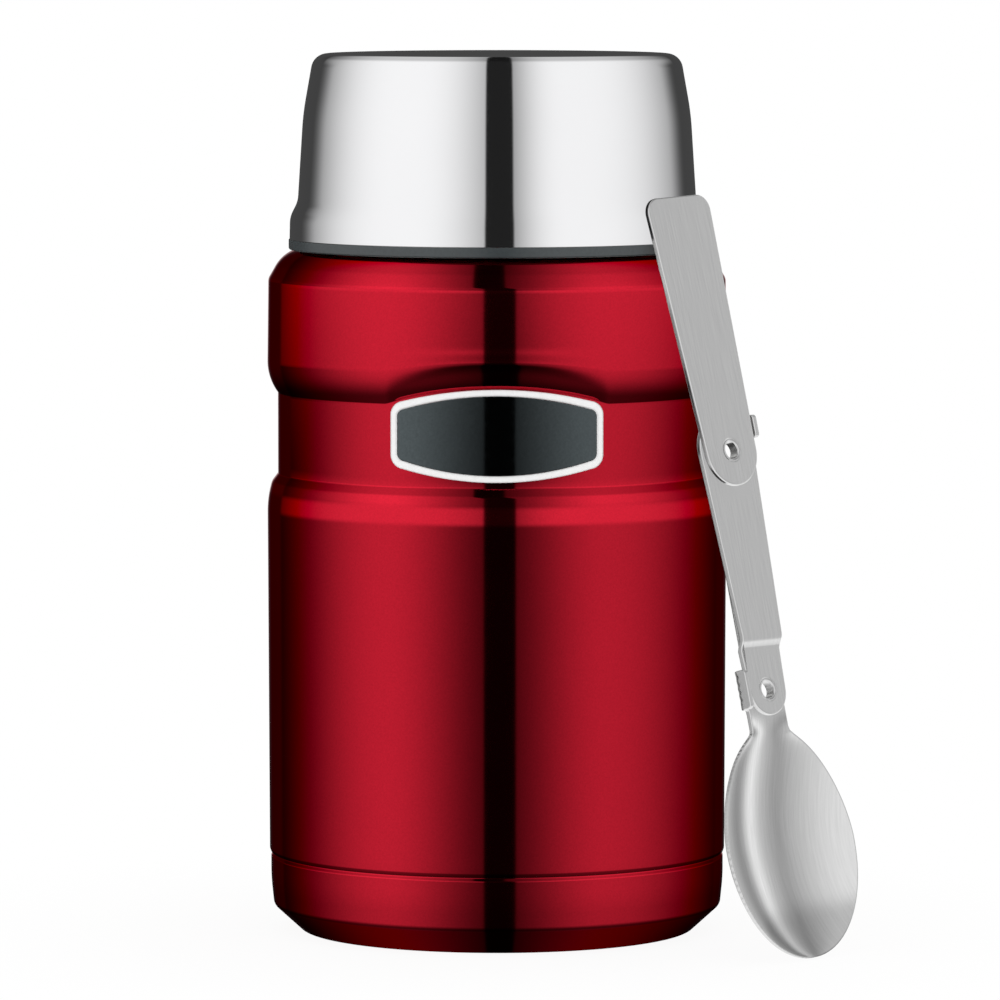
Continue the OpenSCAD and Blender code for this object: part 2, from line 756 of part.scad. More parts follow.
outer_shell();
bottom_cup();
base_disc();
inner_vessel();
foil_wrap();
getter();
seal_bead();
badge_frame();
badge_field();
stopper_seal();
stopper_body();
stopper_foam();
stopper_cover();
trim_ring();
lid_liner();
lid_shell();
spoon_bowl();
lower_rivet();
spoon_link();
upper_rivet();
spoon_handle();
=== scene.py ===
import math

import bpy
import numpy as np
from mathutils import Matrix
from mathutils.geometry import delaunay_2d_cdt


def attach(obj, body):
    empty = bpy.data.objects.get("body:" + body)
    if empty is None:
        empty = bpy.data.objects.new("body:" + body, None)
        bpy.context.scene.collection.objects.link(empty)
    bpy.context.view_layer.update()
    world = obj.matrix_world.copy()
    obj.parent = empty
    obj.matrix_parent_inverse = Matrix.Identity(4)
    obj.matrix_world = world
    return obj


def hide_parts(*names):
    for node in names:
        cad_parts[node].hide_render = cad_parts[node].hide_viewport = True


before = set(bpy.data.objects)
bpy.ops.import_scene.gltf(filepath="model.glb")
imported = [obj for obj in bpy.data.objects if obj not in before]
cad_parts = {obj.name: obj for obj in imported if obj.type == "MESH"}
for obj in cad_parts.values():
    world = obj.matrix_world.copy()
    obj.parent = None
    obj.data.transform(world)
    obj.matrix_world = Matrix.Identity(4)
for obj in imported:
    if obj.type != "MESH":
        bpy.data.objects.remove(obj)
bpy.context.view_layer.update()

# ---- Sizes in millimetres, named as in the part's source ----
MM = 0.001
STEEL_T, SEAT_FIT, SIDE_FIT = 0.6, 0.04, 0.3
DRUM_R, WAIST_R, NECK_R, MOUTH_R = 50.0, 47.7, 39.2, 37.0
SEAM_Z, SHOULDER_Z, LIP_Z = 17.2, 149.0, 162.0
WAIST_CORNERS, FLANK_Z, FLANK_R = (99.9, 117.55), 120.7, 11.4
SWELL_Z, SWELL_R, SWELL_END_R, SWELL_END_Z = 94.5, 23.5, 49.05, 98.1
CREASE_Z, CREASE_R, DRUM_TAPER = 142.2, 49.75, 0.35
ARCH_W, ARCH_LIFT, ARCH_EDGE_Z, ARCH_POWER, ARCH_SOFT = 47.0, 3.6, 120.3, 2.4, 0.06
ARCH_LOW, ARCH_HIGH_Z, ARCH_END, ARCH_GAIN, ARCH_LOSS = 12, FLANK_Z + 5.5, 4, 0.25, 0.65
SEAM_R, SHOULDER_R = 49.4, 45.9
CONE_IN, CONE_Z, CONE_TOP_Z, CONE_ROUND = 0.6, 5.7, 11.5, 45.0
CUP_R, FOOT_R, FOOT_IN_R, RECESS_R, RECESS_H = 49.36, 42.5, 40.76, 38.36, 2.2
DIMPLE_R, DIMPLE_Z, SKIRT_TOP_Z = 5.0, 4.6, 22.2
VESSEL_R, VESSEL_FLOOR_Z, VESSEL_SHOULDER_Z = 43.0, 8.0, 137.0
BADGE_W, BADGE_H, BADGE_BOW, BADGE_CORNER, BADGE_RIM = 45.2, 19.77, 3.4, 3.0, 1.4
BADGE_T, BADGE_FIELD_T, BADGE_Z = 0.9, 0.5, 111.05
PLUG_R, WELL_R, FLANGE_R = 36.6, 34.9, 39.7
FLANGE_Z, STOPPER_TOP_Z, WELL_FLOOR_Z = 162.8, 168.0, 154.0
PLUG_BOTTOM_Z, PLUG_COVER_Z, SPIGOT_H, SPIGOT_WALL = 136.0, 138.0, 4.0, 1.4
GRIPS, GRIP_DEPTH, GRIP_R = 30, 0.7, 2.2
TRIM_IN_R, TRIM_R, TRIM_Z, TRIM_H = 44.1, 45.3, 148.615, 2.2
LID_T, LID_AIR, LINER_T = 0.5, 0.8, 1.2
LID_Z = TRIM_Z + TRIM_H + SEAT_FIT
LID_H = 40.2
LID_FLARE, LID_FLARE_H, LID_STEP_H, LID_DRAFT_H, LID_DRAFT, LID_TOP_R = 1.8, 4.8, 8.1, 27.2, 1.2, 3.5
SPOON_T, PLATE_GAP = 1.2, 0.1
BOWL_W, BOWL_DEPTH, BOWL_WIDE_S, BOWL_LEN, THROAT_LEN, TANG_W = 38.8, 8.0, 24.5, 53.7, 4.0, 11.2
BOWL_WALL_POWER, BOWL_TIP_POWER, BOWL_THROAT_POWER, TANG_BLEND_POWER = 2.2, 2.1, 1.7, 6
TIP_SINK_POWER, THROAT_SINK_POWER = 1.4, 1.6
LOWER_S, UPPER_S = 57.8, 109.4
LINK_LOW_N, LINK_HIGH_N, HANDLE_N = 1.3, 2.7, 4.0
LINK_LOW_W, LINK_HIGH_W, HANDLE_LOW_W, HANDLE_HIGH_W, HANDLE_LEN = 11.0, 16.4, 15.4, 19.6, 55.7
LUG_X, LUG_TOP_N, LUG_LEN = 6.26, 3.6, 8.8
TAB_X, TAB_S, TAB_LEN, BEND_R = 8.279, 2.4, 5.0, 1.4
JOGGLE_S, JOGGLE_LEN, HANDLE_PLAY, HANDLE_CORNER = 67.8, 3.0, 2.2, 3.5
RIVET_R, RIVET_WALL, RIVET_FLARE, RIVET_PROUD, HOLE_PLAY = 2.3, 0.45, 0.3, 0.05, 0.08
SPOON_LEAN, SPOON_TURN, SPOON_SIDE, TIP_OUT, TIP_Z = 15.0, 45.0, 10.3, 83.907, 0.3


# ---- Camera: the photograph's place and angle ----
SENSOR, LENS_PER_SENSOR, VIEW_END = 36.0, 7.728, 60.0
CAMERA_PLACE, CAMERA_TILT = (0.00065, -1.68, 0.2247), 4.455    # metres, degrees down


def make_camera():
    data = bpy.data.cameras.new("camera")
    data.sensor_width = SENSOR
    data.lens = SENSOR * LENS_PER_SENSOR
    data.clip_end = VIEW_END
    camera = bpy.data.objects.new("camera", data)
    camera.location = CAMERA_PLACE
    camera.rotation_euler = (math.radians(90 - CAMERA_TILT), 0, 0)
    bpy.context.collection.objects.link(camera)
    bpy.context.scene.camera = camera


make_camera()


# ---- Profiles ----
ARC_STEP, ARC_CHORD = 5.0, 0.4    # largest turn in degrees and largest step in mm between points of a rounding


def unit(v):
    return v / np.linalg.norm(v)


def turned(v, a):
    return np.array([v[0] * math.cos(a) - v[1] * math.sin(a), v[0] * math.sin(a) + v[1] * math.cos(a)])


def corner(a, b, c, r):
    """Points of the rounding of radius r at corner b."""
    a, b, c = (np.array(p[:2], float) for p in (a, b, c))
    u, v = unit(a - b), unit(c - b)
    half = math.acos(np.clip(u @ v, -1, 1)) / 2
    if r <= 0 or half > math.radians(89.9):
        return [b]
    centre = b + unit(u + v) * r / math.sin(half)
    start = b + u * r / math.tan(half) - centre
    side = -1 if u[0] * v[1] - u[1] * v[0] > 0 else 1
    turn = math.pi - 2 * half
    steps = max(3, round(math.degrees(turn) / ARC_STEP), round(turn * r / ARC_CHORD))
    return [centre + turned(start, side * turn * i / steps) for i in range(steps + 1)]


def rounded(path):
    """An open path of corners (x, y, rounding) as points."""
    points = [np.array(path[0][:2], float)]
    for a, b, c in zip(path, path[1:], path[2:]):
        points += corner(a, b, c, b[2] if len(b) > 2 else 0)
    return points + [np.array(path[-1][:2], float)]


def rounded_loop(path):
    """A closed path of corners (x, y, rounding) as points."""
    n = len(path)
    points = []
    for i, b in enumerate(path):
        points += corner(path[i - 1], b, path[(i + 1) % n], b[2] if len(b) > 2 else 0)
    return points


def moved(path, t):
    """The same path moved by t to the left, its roundings kept concentric."""
    out = []
    last = len(path) - 1
    for i, p in enumerate(path):
        b = np.array(p[:2], float)
        there = np.array(path[1][:2]) - b if i == 0 else b - np.array(path[i - 1][:2])
        away = b - np.array(path[last - 1][:2]) if i == last else np.array(path[i + 1][:2]) - b
        u, v = unit(there), unit(away)
        before, after = np.array([-u[1], u[0]]), np.array([-v[1], v[0]])
        bend = before[0] * after[1] - before[1] * after[0]
        q = b + (before + after) * t / (1 + before @ after)
        r = p[2] if len(p) > 2 else 0
        out.append((q[0], q[1], 0 if r <= 0 else max(0.05, r - t if bend > 0 else r + t)))
    return out


def sheet(path, t, t0=0.0):
    """Closed section of a sheet of thickness t on the left of a path."""
    return rounded(moved(path, t0)) + rounded(moved(path, t0 + t))[::-1]


def softened(loop, r):
    """A closed section with a small rounding at each of its sharp corners off the axis."""
    loop = [np.array(p, float) for p in loop]
    loop = [p for i, p in enumerate(loop) if np.linalg.norm(p - loop[i - 1]) > 1e-4]
    out = []
    for i, b in enumerate(loop):
        a, c = loop[i - 1], loop[(i + 1) % len(loop)]
        turn = math.acos(np.clip(unit(b - a) @ unit(c - b), -1, 1))
        if b[0] < 1e-6 or turn < math.radians(30):
            out.append(b)
        else:
            room = 0.45 * min(np.linalg.norm(b - a), np.linalg.norm(c - b)) / math.tan(turn / 2)
            out += corner(a, b, c, min(r, room))
    return out


def spread(loop, step, low, high):
    """A closed section with extra points on what lies between two heights."""
    out = []
    for i, a in enumerate(loop):
        b = loop[(i + 1) % len(loop)]
        out.append(a)
        if max(a[1], b[1]) > low and min(a[1], b[1]) < high and max(a[0], b[0]) > 1:
            n = int(math.ceil(np.linalg.norm(b - a) / step))
            out += [a + (b - a) * k / n for k in range(1, n)]
    return out


# ---- Meshes ----
def make_object(name, verts, faces, normals=None, corner_normals=None):
    mesh = bpy.data.meshes.new(name)
    mesh.from_pydata(np.asarray(verts).tolist(), [], faces)
    mesh.polygons.foreach_set("use_smooth", [True] * len(mesh.polygons))
    if normals is not None:
        mesh.normals_split_custom_set_from_vertices(np.asarray(normals).tolist())
    elif corner_normals is not None:
        mesh.normals_split_custom_set(np.asarray(corner_normals).tolist())
    else:
        mesh.set_sharp_from_angle(angle=math.radians(38))
    mesh.validate()
    piece = bpy.data.objects.new(name, mesh)
    bpy.context.collection.objects.link(piece)
    return piece


def lathe(name, loop, columns=240, warp=None, matrix=None):
    """A closed section (r, z) in mm, turned round the axis.
    warp(r, z, angle, outer) may move its points."""
    p = np.array([q for i, q in enumerate(loop) if np.linalg.norm(q - loop[i - 1]) > 1e-5])
    nxt = np.roll(p, -1, 0)
    if np.sum(p[:, 0] * nxt[:, 1] - nxt[:, 0] * p[:, 1]) < 0:
        p = p[::-1]
        nxt = np.roll(p, -1, 0)
    n = len(p)
    side = nxt - p
    length = np.linalg.norm(side, axis=1)[:, None]
    flat = np.stack([side[:, 1], -side[:, 0]], 1) / length
    back, back_len = np.roll(flat, 1, 0), np.roll(length, 1, 0)
    mean = flat * length + back * back_len
    mean /= np.linalg.norm(mean, axis=1)[:, None]
    smooth = np.sum(flat * back, axis=1) > math.cos(math.radians(38))
    first = np.where(smooth[:, None], mean, flat)
    last = np.where(np.roll(smooth, -1)[:, None], np.roll(mean, -1, 0), flat)
    angles = np.arange(columns) * 2 * math.pi / columns
    verts, ids = [], np.zeros((n, columns), int)
    for i in range(n):
        if p[i, 0] < 1e-6:
            ids[i] = len(verts)
            verts.append((0, 0, p[i, 1]))
            continue
        r, z = np.full(columns, p[i, 0]), np.full(columns, p[i, 1])
        if warp:
            r, z = warp(r, z, angles, mean[i, 0] > 0)
        ids[i] = len(verts) + np.arange(columns)
        verts += list(zip(r * np.sin(angles), -r * np.cos(angles), z))
    faces, corner_normals = [], []
    for i in range(n):
        k = (i + 1) % n
        if p[i, 0] < 1e-6 and p[k, 0] < 1e-6:
            continue
        for j in range(columns):
            m = (j + 1) % columns
            quad = [(ids[i, j], first[i], j), (ids[i, m], first[i], m),
                    (ids[k, m], last[i], m), (ids[k, j], last[i], j)]
            quad = [q for a, q in enumerate(quad) if q[0] != quad[a - 1][0]]
            faces.append([int(q[0]) for q in quad])
            if not warp:
                corner_normals += [(q[1][0] * math.sin(angles[q[2]]), -q[1][0] * math.cos(angles[q[2]]), q[1][1])
                                   for q in quad]
    verts = np.array(verts)
    if matrix is not None:
        turn = np.array(matrix.to_3x3())
        verts = verts @ turn.T + np.array(matrix.translation)
        corner_normals = np.array(corner_normals) @ turn.T
    return make_object(name, verts * MM, faces, corner_normals=None if warp else corner_normals)


def inside(points, loop):
    """Which points lie inside a closed outline."""
    a = np.array(loop)
    b = np.roll(a, -1, 0)
    x, y = points[:, 0][:, None], points[:, 1][:, None]
    crosses = (a[:, 1] > y) != (b[:, 1] > y)
    run = np.where(b[:, 1] == a[:, 1], 1, b[:, 1] - a[:, 1])
    return (crosses & (x < (b[:, 0] - a[:, 0]) * (y - a[:, 1]) / run + a[:, 0])).sum(1) % 2 == 1


def dense(loop, step):
    out = []
    for i, a in enumerate(loop):
        b = loop[(i + 1) % len(loop)]
        n = max(1, int(math.ceil(np.linalg.norm(np.subtract(b, a)) / step)))
        out += [np.array(a, float) + np.subtract(b, a) * k / n for k in range(n)]
    return np.array([p for i, p in enumerate(out) if np.linalg.norm(p - out[i - 1]) > 1e-4])


def plate(name, outer, holes, t, place, edge=0.25, step=0.8, grid=1.2, steps=4):
    """A sheet cut to flat outlines (x, s) in mm and carried to its shape by place(x, s, n).
    Its outer edges are rounded, and its holes are chamfered."""
    loops, outward, reach = [], [], []
    for k, loop in enumerate([outer] + list(holes)):
        p = dense(loop, step)
        q = np.roll(p, -1, 0)
        area = np.sum(p[:, 0] * q[:, 1] - q[:, 0] * p[:, 1])
        if (area < 0) == (k == 0):
            p = p[::-1]
        d = np.roll(p, -1, 0) - p
        d /= np.linalg.norm(d, axis=1)[:, None]
        side = np.stack([d[:, 1], -d[:, 0]], 1)
        both = side + np.roll(side, 1, 0)
        size = np.linalg.norm(both, axis=1)[:, None]
        loops.append(p)
        outward.append(both / size)
        reach.append(np.minimum(2 / size, 1.5))
    flat = np.concatenate(loops)
    out = np.concatenate(outward)
    miter = np.concatenate(reach)
    is_hole = np.concatenate([np.full(len(p), k > 0) for k, p in enumerate(loops)])
    levels = []
    for k in range(steps + 1):
        a = math.pi / 2 * k / steps
        soft, straight = edge * (1 - math.sin(a)), edge * (1 - k / steps)
        down = np.where(is_hole, edge * k / steps, edge * (1 - math.cos(a)))
        levels.append((np.where(is_hole, straight, soft), down, a))
    rings = [(inset, t - down, a) for inset, down, a in levels]
    rings += [(inset, down, math.pi - a) for inset, down, a in levels[::-1]]
    xs, ss, ns, lean = [], [], [], []
    for inset, n, a in rings:
        q = flat - out * miter * inset[:, None]
        xs.append(q[:, 0]); ss.append(q[:, 1]); ns.append(n); lean.append(np.full(len(q), a))
    rim = np.stack([xs[0], ss[0]], 1)
    low, high = rim.min(0), rim.max(0)
    gx, gs = np.meshgrid(np.arange(low[0], high[0], grid), np.arange(low[1], high[1], grid * 0.9))
    gx = gx + (np.arange(gx.shape[0]) % 2 * grid / 2)[:, None]
    g = np.stack([gx.ravel(), gs.ravel()], 1)
    starts = np.cumsum([0] + [len(p) for p in loops])
    rim_loops = [rim[a:b] for a, b in zip(starts, starts[1:])]
    keep = inside(g, rim_loops[0])
    for hole in rim_loops[1:]:
        keep &= ~inside(g, hole)
    g = g[keep]
    far = np.array([np.min(np.sum((rim - q) ** 2, 1)) for q in g]) > (0.45 * grid) ** 2
    g = g[far]
    edges = [(a + i, a + (i + 1) % (b - a)) for a, b in zip(starts, starts[1:]) for i in range(b - a)]
    points = np.concatenate([rim, g])
    cdt = delaunay_2d_cdt([tuple(q) for q in points], edges, [], 0, 1e-7)
    crossed = [tuple(v) for v, o in zip(cdt[0], cdt[3]) if not o]
    assert not crossed, f"{name}: outlines cross at {crossed[:4]}"
    source = [o[0] for o in cdt[3]]
    tris = np.array([[source[i] for i in f] for f in cdt[2]])
    middle = points[tris].mean(1)
    keep = inside(middle, rim_loops[0])
    for hole in rim_loops[1:]:
        keep &= ~inside(middle, hole)
    tris = tris[keep]
    u, v = points[tris[:, 1]] - points[tris[:, 0]], points[tris[:, 2]] - points[tris[:, 0]]
    wrong = u[:, 0] * v[:, 1] - u[:, 1] * v[:, 0] < 0
    tris[wrong] = tris[wrong][:, ::-1]
    m, count = len(rim), len(rings)
    top0, low0 = m * count, m * count + len(g)
    verts_x = np.concatenate(xs + [g[:, 0], g[:, 0]])
    verts_s = np.concatenate(ss + [g[:, 1], g[:, 1]])
    verts_n = np.concatenate(ns + [np.full(len(g), t), np.zeros(len(g))])
    tilt = np.concatenate(lean + [np.zeros(len(g)), np.full(len(g), math.pi)])
    dirs = np.concatenate([out] * count + [np.zeros((len(g), 2))] * 2)
    top = np.where(tris < m, tris, tris - m + top0)
    bottom = np.where(tris < m, tris + m * (count - 1), tris - m + low0)[:, ::-1]
    faces = top.tolist() + bottom.tolist()
    for k in range(count - 1):
        for a, b in edges:
            faces.append([(k + 1) * m + a, (k + 1) * m + b, k * m + b, k * m + a])
    e = 0.01
    here = place(verts_x, verts_s, verts_n)
    across = place(verts_x + e, verts_s, verts_n) - place(verts_x - e, verts_s, verts_n)
    along = place(verts_x, verts_s + e, verts_n) - place(verts_x, verts_s - e, verts_n)
    face_n = np.cross(across, along)
    face_n /= np.linalg.norm(face_n, axis=1)[:, None]
    edge_d = across * dirs[:, :1] + along * dirs[:, 1:]
    edge_d -= face_n * np.sum(edge_d * face_n, axis=1)[:, None]
    size = np.linalg.norm(edge_d, axis=1)[:, None]
    edge_d = np.divide(edge_d, size, out=np.zeros_like(edge_d), where=size > 1e-9)
    normals = face_n * np.cos(tilt)[:, None] + edge_d * np.sin(tilt)[:, None]
    piece = make_object(name, here * MM, [[int(i) for i in f] for f in faces], normals=normals)
    layer = piece.data.uv_layers.new(name="flat")
    index = np.zeros(len(piece.data.loops), int)
    piece.data.loops.foreach_get("vertex_index", index)
    layer.data.foreach_set("uv", np.stack([verts_x[index], verts_s[index]], 1).ravel() * MM)
    return piece


def fit(piece, body, slot, materials, *nodes):
    """Puts a piece on its body, gives it its finish and lets it stand for CAD nodes."""
    for m in materials if isinstance(materials, (list, tuple)) else [materials]:
        piece.data.materials.append(m)
    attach(piece, body)
    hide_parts(*nodes)
    return piece


# ---- Materials ----
class Graph:
    """A material's node network."""

    def __init__(self, name):
        self.mat = bpy.data.materials.new(name)
        self.mat.use_nodes = True
        self.nodes, self.links = self.mat.node_tree.nodes, self.mat.node_tree.links

    def put(self, value, socket):
        """Links an output to the socket, or sets its value."""
        if isinstance(value, bpy.types.NodeSocket):
            self.links.new(value, socket)
        else:
            socket.default_value = value

    def node(self, kind, *inputs, **values):
        made = self.nodes.new("ShaderNode" + kind)
        for key, value in values.items():
            setattr(made, key, value)
        for value, socket in zip(inputs, made.inputs):
            self.put(value, socket)
        return made

    def math(self, operation, *values):
        return self.node("Math", *values, operation=operation).outputs[0]

    def mix(self, share, first, second):
        return self.math("ADD", first, self.math("MULTIPLY", share, self.math("SUBTRACT", second, first)))

    def step(self, value, low, high, start=0.0, end=1.0, kind="SMOOTHSTEP"):
        """Goes from start to end while value goes from low to high."""
        return self.node("MapRange", value, low, high, start, end, interpolation_type=kind).outputs["Result"]

    def place(self, coords="Object"):
        return self.node("TexCoord").outputs[coords]

    def length(self, vector):
        return self.node("VectorMath", vector, operation="LENGTH").outputs["Value"]


class Finish(Graph):
    """A Principled material with a few procedural layers."""

    def __init__(self, name, colour, **sockets):
        super().__init__(name)
        self.shader = self.nodes["Principled BSDF"]
        self.colour = colour
        self.shader.inputs["Base Color"].default_value = (*colour, 1)
        for key, value in sockets.items():
            self.shader.inputs[key.replace("_", " ")].default_value = value

    def noise(self, scale, stretch=(1, 1, 1), detail=3.0, coords="Object", kind="Noise"):
        """A noise with about `scale` grains in a metre."""
        return self.grain(self.place(coords), scale, stretch, detail, 0.55, kind)

    def grain(self, vector, scale, stretch, detail, rough=0.5, kind="Noise"):
        mapping = self.node("Mapping", vector)
        mapping.inputs["Scale"].default_value = stretch
        made = self.node("Tex" + kind, mapping.outputs["Vector"])
        made.inputs["Scale"].default_value = scale
        if kind == "Noise":
            made.inputs["Detail"].default_value = detail
            made.inputs["Roughness"].default_value = rough
        return made.outputs["Fac" if kind == "Noise" else "Distance"]

    def polar(self, around, up):
        """A noise in the cylinder's own directions, `around` and `up` grains in a metre."""
        x, y, z = self.node("SeparateXYZ", self.place()).outputs
        wide = self.math("SINE", self.math("ARCTAN2", x, y))
        radius = self.length(self.node("CombineXYZ", x, y).outputs[0])
        return self.grain(self.node("CombineXYZ", wide, radius, z).outputs[0], 1.0, (around, up, up), 4.0)

    def rough(self, value, low, high):
        self.put(self.step(value, 0.25, 0.75, low, high, kind="LINEAR"), self.shader.inputs["Roughness"])

    def tint(self, value, dark, light):
        """Colour between `dark` and `light` times the base colour."""
        ramp = self.node("ValToRGB", value)
        for stop, at, gain in zip(ramp.color_ramp.elements, (0.3, 0.7), (dark, light)):
            stop.position = at
            stop.color = (*(min(1, c * gain) for c in self.colour), 1)
        self.put(ramp.outputs["Color"], self.shader.inputs["Base Color"])

    def bump(self, value, depth):
        """Relief `depth` metres deep."""
        made = self.node("Bump")
        made.inputs["Strength"].default_value = 1.0
        made.inputs["Distance"].default_value = depth
        self.put(value, made.inputs["Height"])
        self.put(made.outputs["Normal"], self.shader.inputs["Normal"])


# Colour, shader values, then roughness (grains, low, high), tint (grains, dark, light, detail of the noise)
# and relief (grains, depth, detail), with grains in a metre and the depth in metres
PLAIN_FINISHES = {
    "red_paint": ((0.60, 0.0145, 0.033), dict(Metallic=1.0, Specular_Tint=(0.62, 0.05, 0.09, 1)),
                  (60, 0.05, 0.08), (2600, 0.93, 1.07, 2), (420, 0.0000012, 1)),
    "rivet_steel": ((0.64, 0.64, 0.64), dict(Metallic=1.0),
                    (1800, 0.18, 0.30), (700, 0.9, 1.05, 3), (2500, 0.000004, 3)),
    "copper_foil": ((0.82, 0.42, 0.26), dict(Metallic=1.0),
                    (140, 0.16, 0.30), (60, 0.85, 1.1, 3), (220, 0.0002, 6)),
    "getter_metal": ((0.30, 0.31, 0.33), dict(Metallic=0.8),
                     (1500, 0.55, 0.8), (2400, 0.7, 1.15, 3), (2600, 0.00006, 5)),
    "seal_glass": ((0.10, 0.11, 0.13), dict(Coat_Weight=0.6),
                   (900, 0.08, 0.2), (1300, 0.8, 1.2, 3), (700, 0.00005, 3)),
    "badge_rim": ((0.95, 0.95, 0.95), dict(Coat_Weight=0.3, Coat_Roughness=0.08),
                  (500, 0.22, 0.34), (900, 0.97, 1.02, 3), (1400, 0.0000015, 3)),
    "badge_grey": ((0.098, 0.117, 0.123), dict(Metallic=1.0),
                   (900, 0.05, 0.09), (2200, 0.88, 1.12, 4), (3200, 0.000001, 3)),
    "seal_rubber": ((0.66, 0.66, 0.64), dict(Subsurface_Weight=0.25, Subsurface_Scale=0.002),
                    (300, 0.42, 0.56), (120, 0.95, 1.03, 3), (1800, 0.00001, 3)),
    "black_plastic": ((0.022, 0.023, 0.025), {}, (500, 0.42, 0.55), (90, 0.85, 1.15, 3), (2600, 0.000025, 4)),
    "trim_plastic": ((0.045, 0.055, 0.058), {}, (400, 0.16, 0.26), (1500, 0.9, 1.1, 3), (1600, 0.000004, 3)),
}


def make_finishes():
    made = {}
    for name, (colour, sockets, rough, tint, relief) in PLAIN_FINISHES.items():
        made[name] = finish = Finish(name, colour, **sockets)
        finish.rough(finish.noise(rough[0]), *rough[1:])
        finish.tint(finish.noise(tint[0], detail=tint[3]), *tint[1:3])
        finish.bump(finish.noise(relief[0], detail=relief[2]), relief[1])
    foam = made["foam"] = Finish("foam", (0.88, 0.84, 0.70))
    foam.rough(foam.noise(300), 0.7, 0.9)
    foam.tint(foam.noise(900), 0.9, 1.03)
    foam.bump(foam.noise(1400, kind="Voronoi"), 0.0003)
    chrome = made["polished_steel"] = Finish("polished_steel", (0.83, 0.83, 0.84), Metallic=1.0)
    chrome.rough(chrome.polar(40, 2200), 0.03, 0.055)
    chrome.tint(chrome.noise(30), 0.985, 1.0)
    satin = made["vessel_steel"] = Finish("vessel_steel", (0.70, 0.70, 0.69), Metallic=1.0, Anisotropic=0.4)
    satin.rough(satin.polar(30, 2600), 0.24, 0.34)
    satin.tint(satin.polar(20, 900), 0.94, 1.04)
    satin.bump(satin.polar(30, 3200), 0.000004)
    spoon = made["spoon_steel"] = Finish("spoon_steel", (0.68, 0.68, 0.68), Metallic=1.0)
    lines = spoon.noise(1.0, stretch=(5200, 160, 1), coords="UV")
    spoon.rough(lines, 0.16, 0.26)
    spoon.tint(spoon.noise(1.0, stretch=(2600, 90, 1), coords="UV"), 0.95, 1.04)
    spoon.bump(lines, 0.000003)
    return {key: value.mat for key, value in made.items()}


FINISH = make_finishes()


# ---- Jar ----
def smooth_step(x, low, high):
    t = np.clip((x - low) / (high - low), 0, 1)
    return t * t * (3 - 2 * t)


def over(d, w):
    """d where it is above 0, else 0, with a rounding of half width w between them."""
    return np.where(d < -w, 0.0, np.where(d > w, d, (d + w) ** 2 / (4 * w)))


def ridge(z, angle, low, high, pitch, width, height):
    """Height of a helical ridge that runs between two heights and fades at both ends."""
    turns = (z - low) / pitch - angle / (2 * math.pi)
    near = (turns - np.round(turns)) * pitch
    along = np.clip(np.round(turns) + angle / (2 * math.pi), 0, None)
    whole = (high - low) / pitch
    fade = smooth_step(along, 0.05, 0.2) * (1 - smooth_step(along, whole - 0.2, whole - 0.05))
    return height * fade * smooth_step(-np.abs(near), -width, -0.2 * width)


NECK_THREAD = dict(low=151.8, high=160.0, pitch=4.0, width=1.3, height=0.6)
PLUG_THREAD = dict(low=141.0, high=158.0, pitch=6.0, width=1.2, height=0.6)
MOUTH_THREAD = dict(PLUG_THREAD, height=0.45)
LINER_THREAD = dict(low=LID_Z + 2.2, high=LID_Z + 10.2, pitch=4.0, width=1.2, height=0.7)


def shell_warp(r, z, angle, outer):
    """Lifts the waist's upper flank into the arch over the badge and rolls the thread of the neck."""
    if r[0] < NECK_R + 1:
        if SHOULDER_Z + 2 < z[0] < LIP_Z - 1:
            r = r + ridge(z, angle, **NECK_THREAD)
        return r, z
    x = np.where(np.cos(angle) > 0, r * np.sin(angle), ARCH_W)
    lift = ARCH_LIFT * over(1 - np.abs(2 * x / ARCH_W) ** ARCH_POWER, ARCH_SOFT)
    waist_z = WAIST_CORNERS[1]
    share = smooth_step(z, waist_z - ARCH_LOW, waist_z - 1) * (1 + ARCH_GAIN * smooth_step(z, waist_z, ARCH_EDGE_Z))
    fade = (1 - ARCH_LOSS * smooth_step(z, ARCH_EDGE_Z, ARCH_HIGH_Z)) \
        * (1 - smooth_step(z, ARCH_HIGH_Z, ARCH_HIGH_Z + ARCH_END))
    return r, z + lift * share * fade


def vessel_warp(r, z, angle, outer):
    """Rolls the grooves for the stopper's thread into the mouth."""
    if MOUTH_R - 0.1 < r[0] < MOUTH_R + STEEL_T + 0.1:
        r = r + ridge(z, angle, **MOUTH_THREAD)
    return r, z


def plug_warp(r, z, angle, outer):
    """Grip notches round the flange and the thread of the plug."""
    if outer and abs(r[0] - PLUG_R) < 0.01 and z[0] < FLANGE_Z - 1:
        r = r - PLUG_THREAD["height"] * (z[0] > PLUG_THREAD["low"] - 1.5) + ridge(z, angle, **PLUG_THREAD)
    if z[0] > FLANGE_Z and r[0] > WELL_R + 0.9:
        pitch = 2 * math.pi / GRIPS
        off = (angle / pitch - np.round(angle / pitch)) * pitch
        centre = FLANGE_R + GRIP_R - GRIP_DEPTH
        notch = centre * np.cos(off) - np.sqrt(np.maximum(GRIP_R ** 2 - (centre * np.sin(off)) ** 2, 0))
        notch = np.where(np.abs(centre * np.sin(off)) < GRIP_R, notch, 99)
        low = FLANGE_Z + (STOPPER_TOP_Z - FLANGE_Z) / 3
        cut = over(r - notch, 0.25) * smooth_step(z, low - 0.3, low + 0.3)
        r = r - cut
    return r, z


def liner_warp(r, z, angle, outer):
    """Thread inside the lid's liner."""
    if not outer and z[0] < LID_Z + 12 and r[0] < NECK_R + 5:
        r = r - ridge(z, angle, **LINER_THREAD)
    return r, z


def red_or_steel(piece, red_if):
    """Second material on the faces that aren't painted."""
    for poly in piece.data.polygons:
        c = poly.center / MM
        r = math.hypot(c.x, c.y)
        out = (poly.normal.x * c.x + poly.normal.y * c.y) / max(r, 1e-6)
        poly.material_index = 0 if red_if(r, out, poly.normal.z) else 1


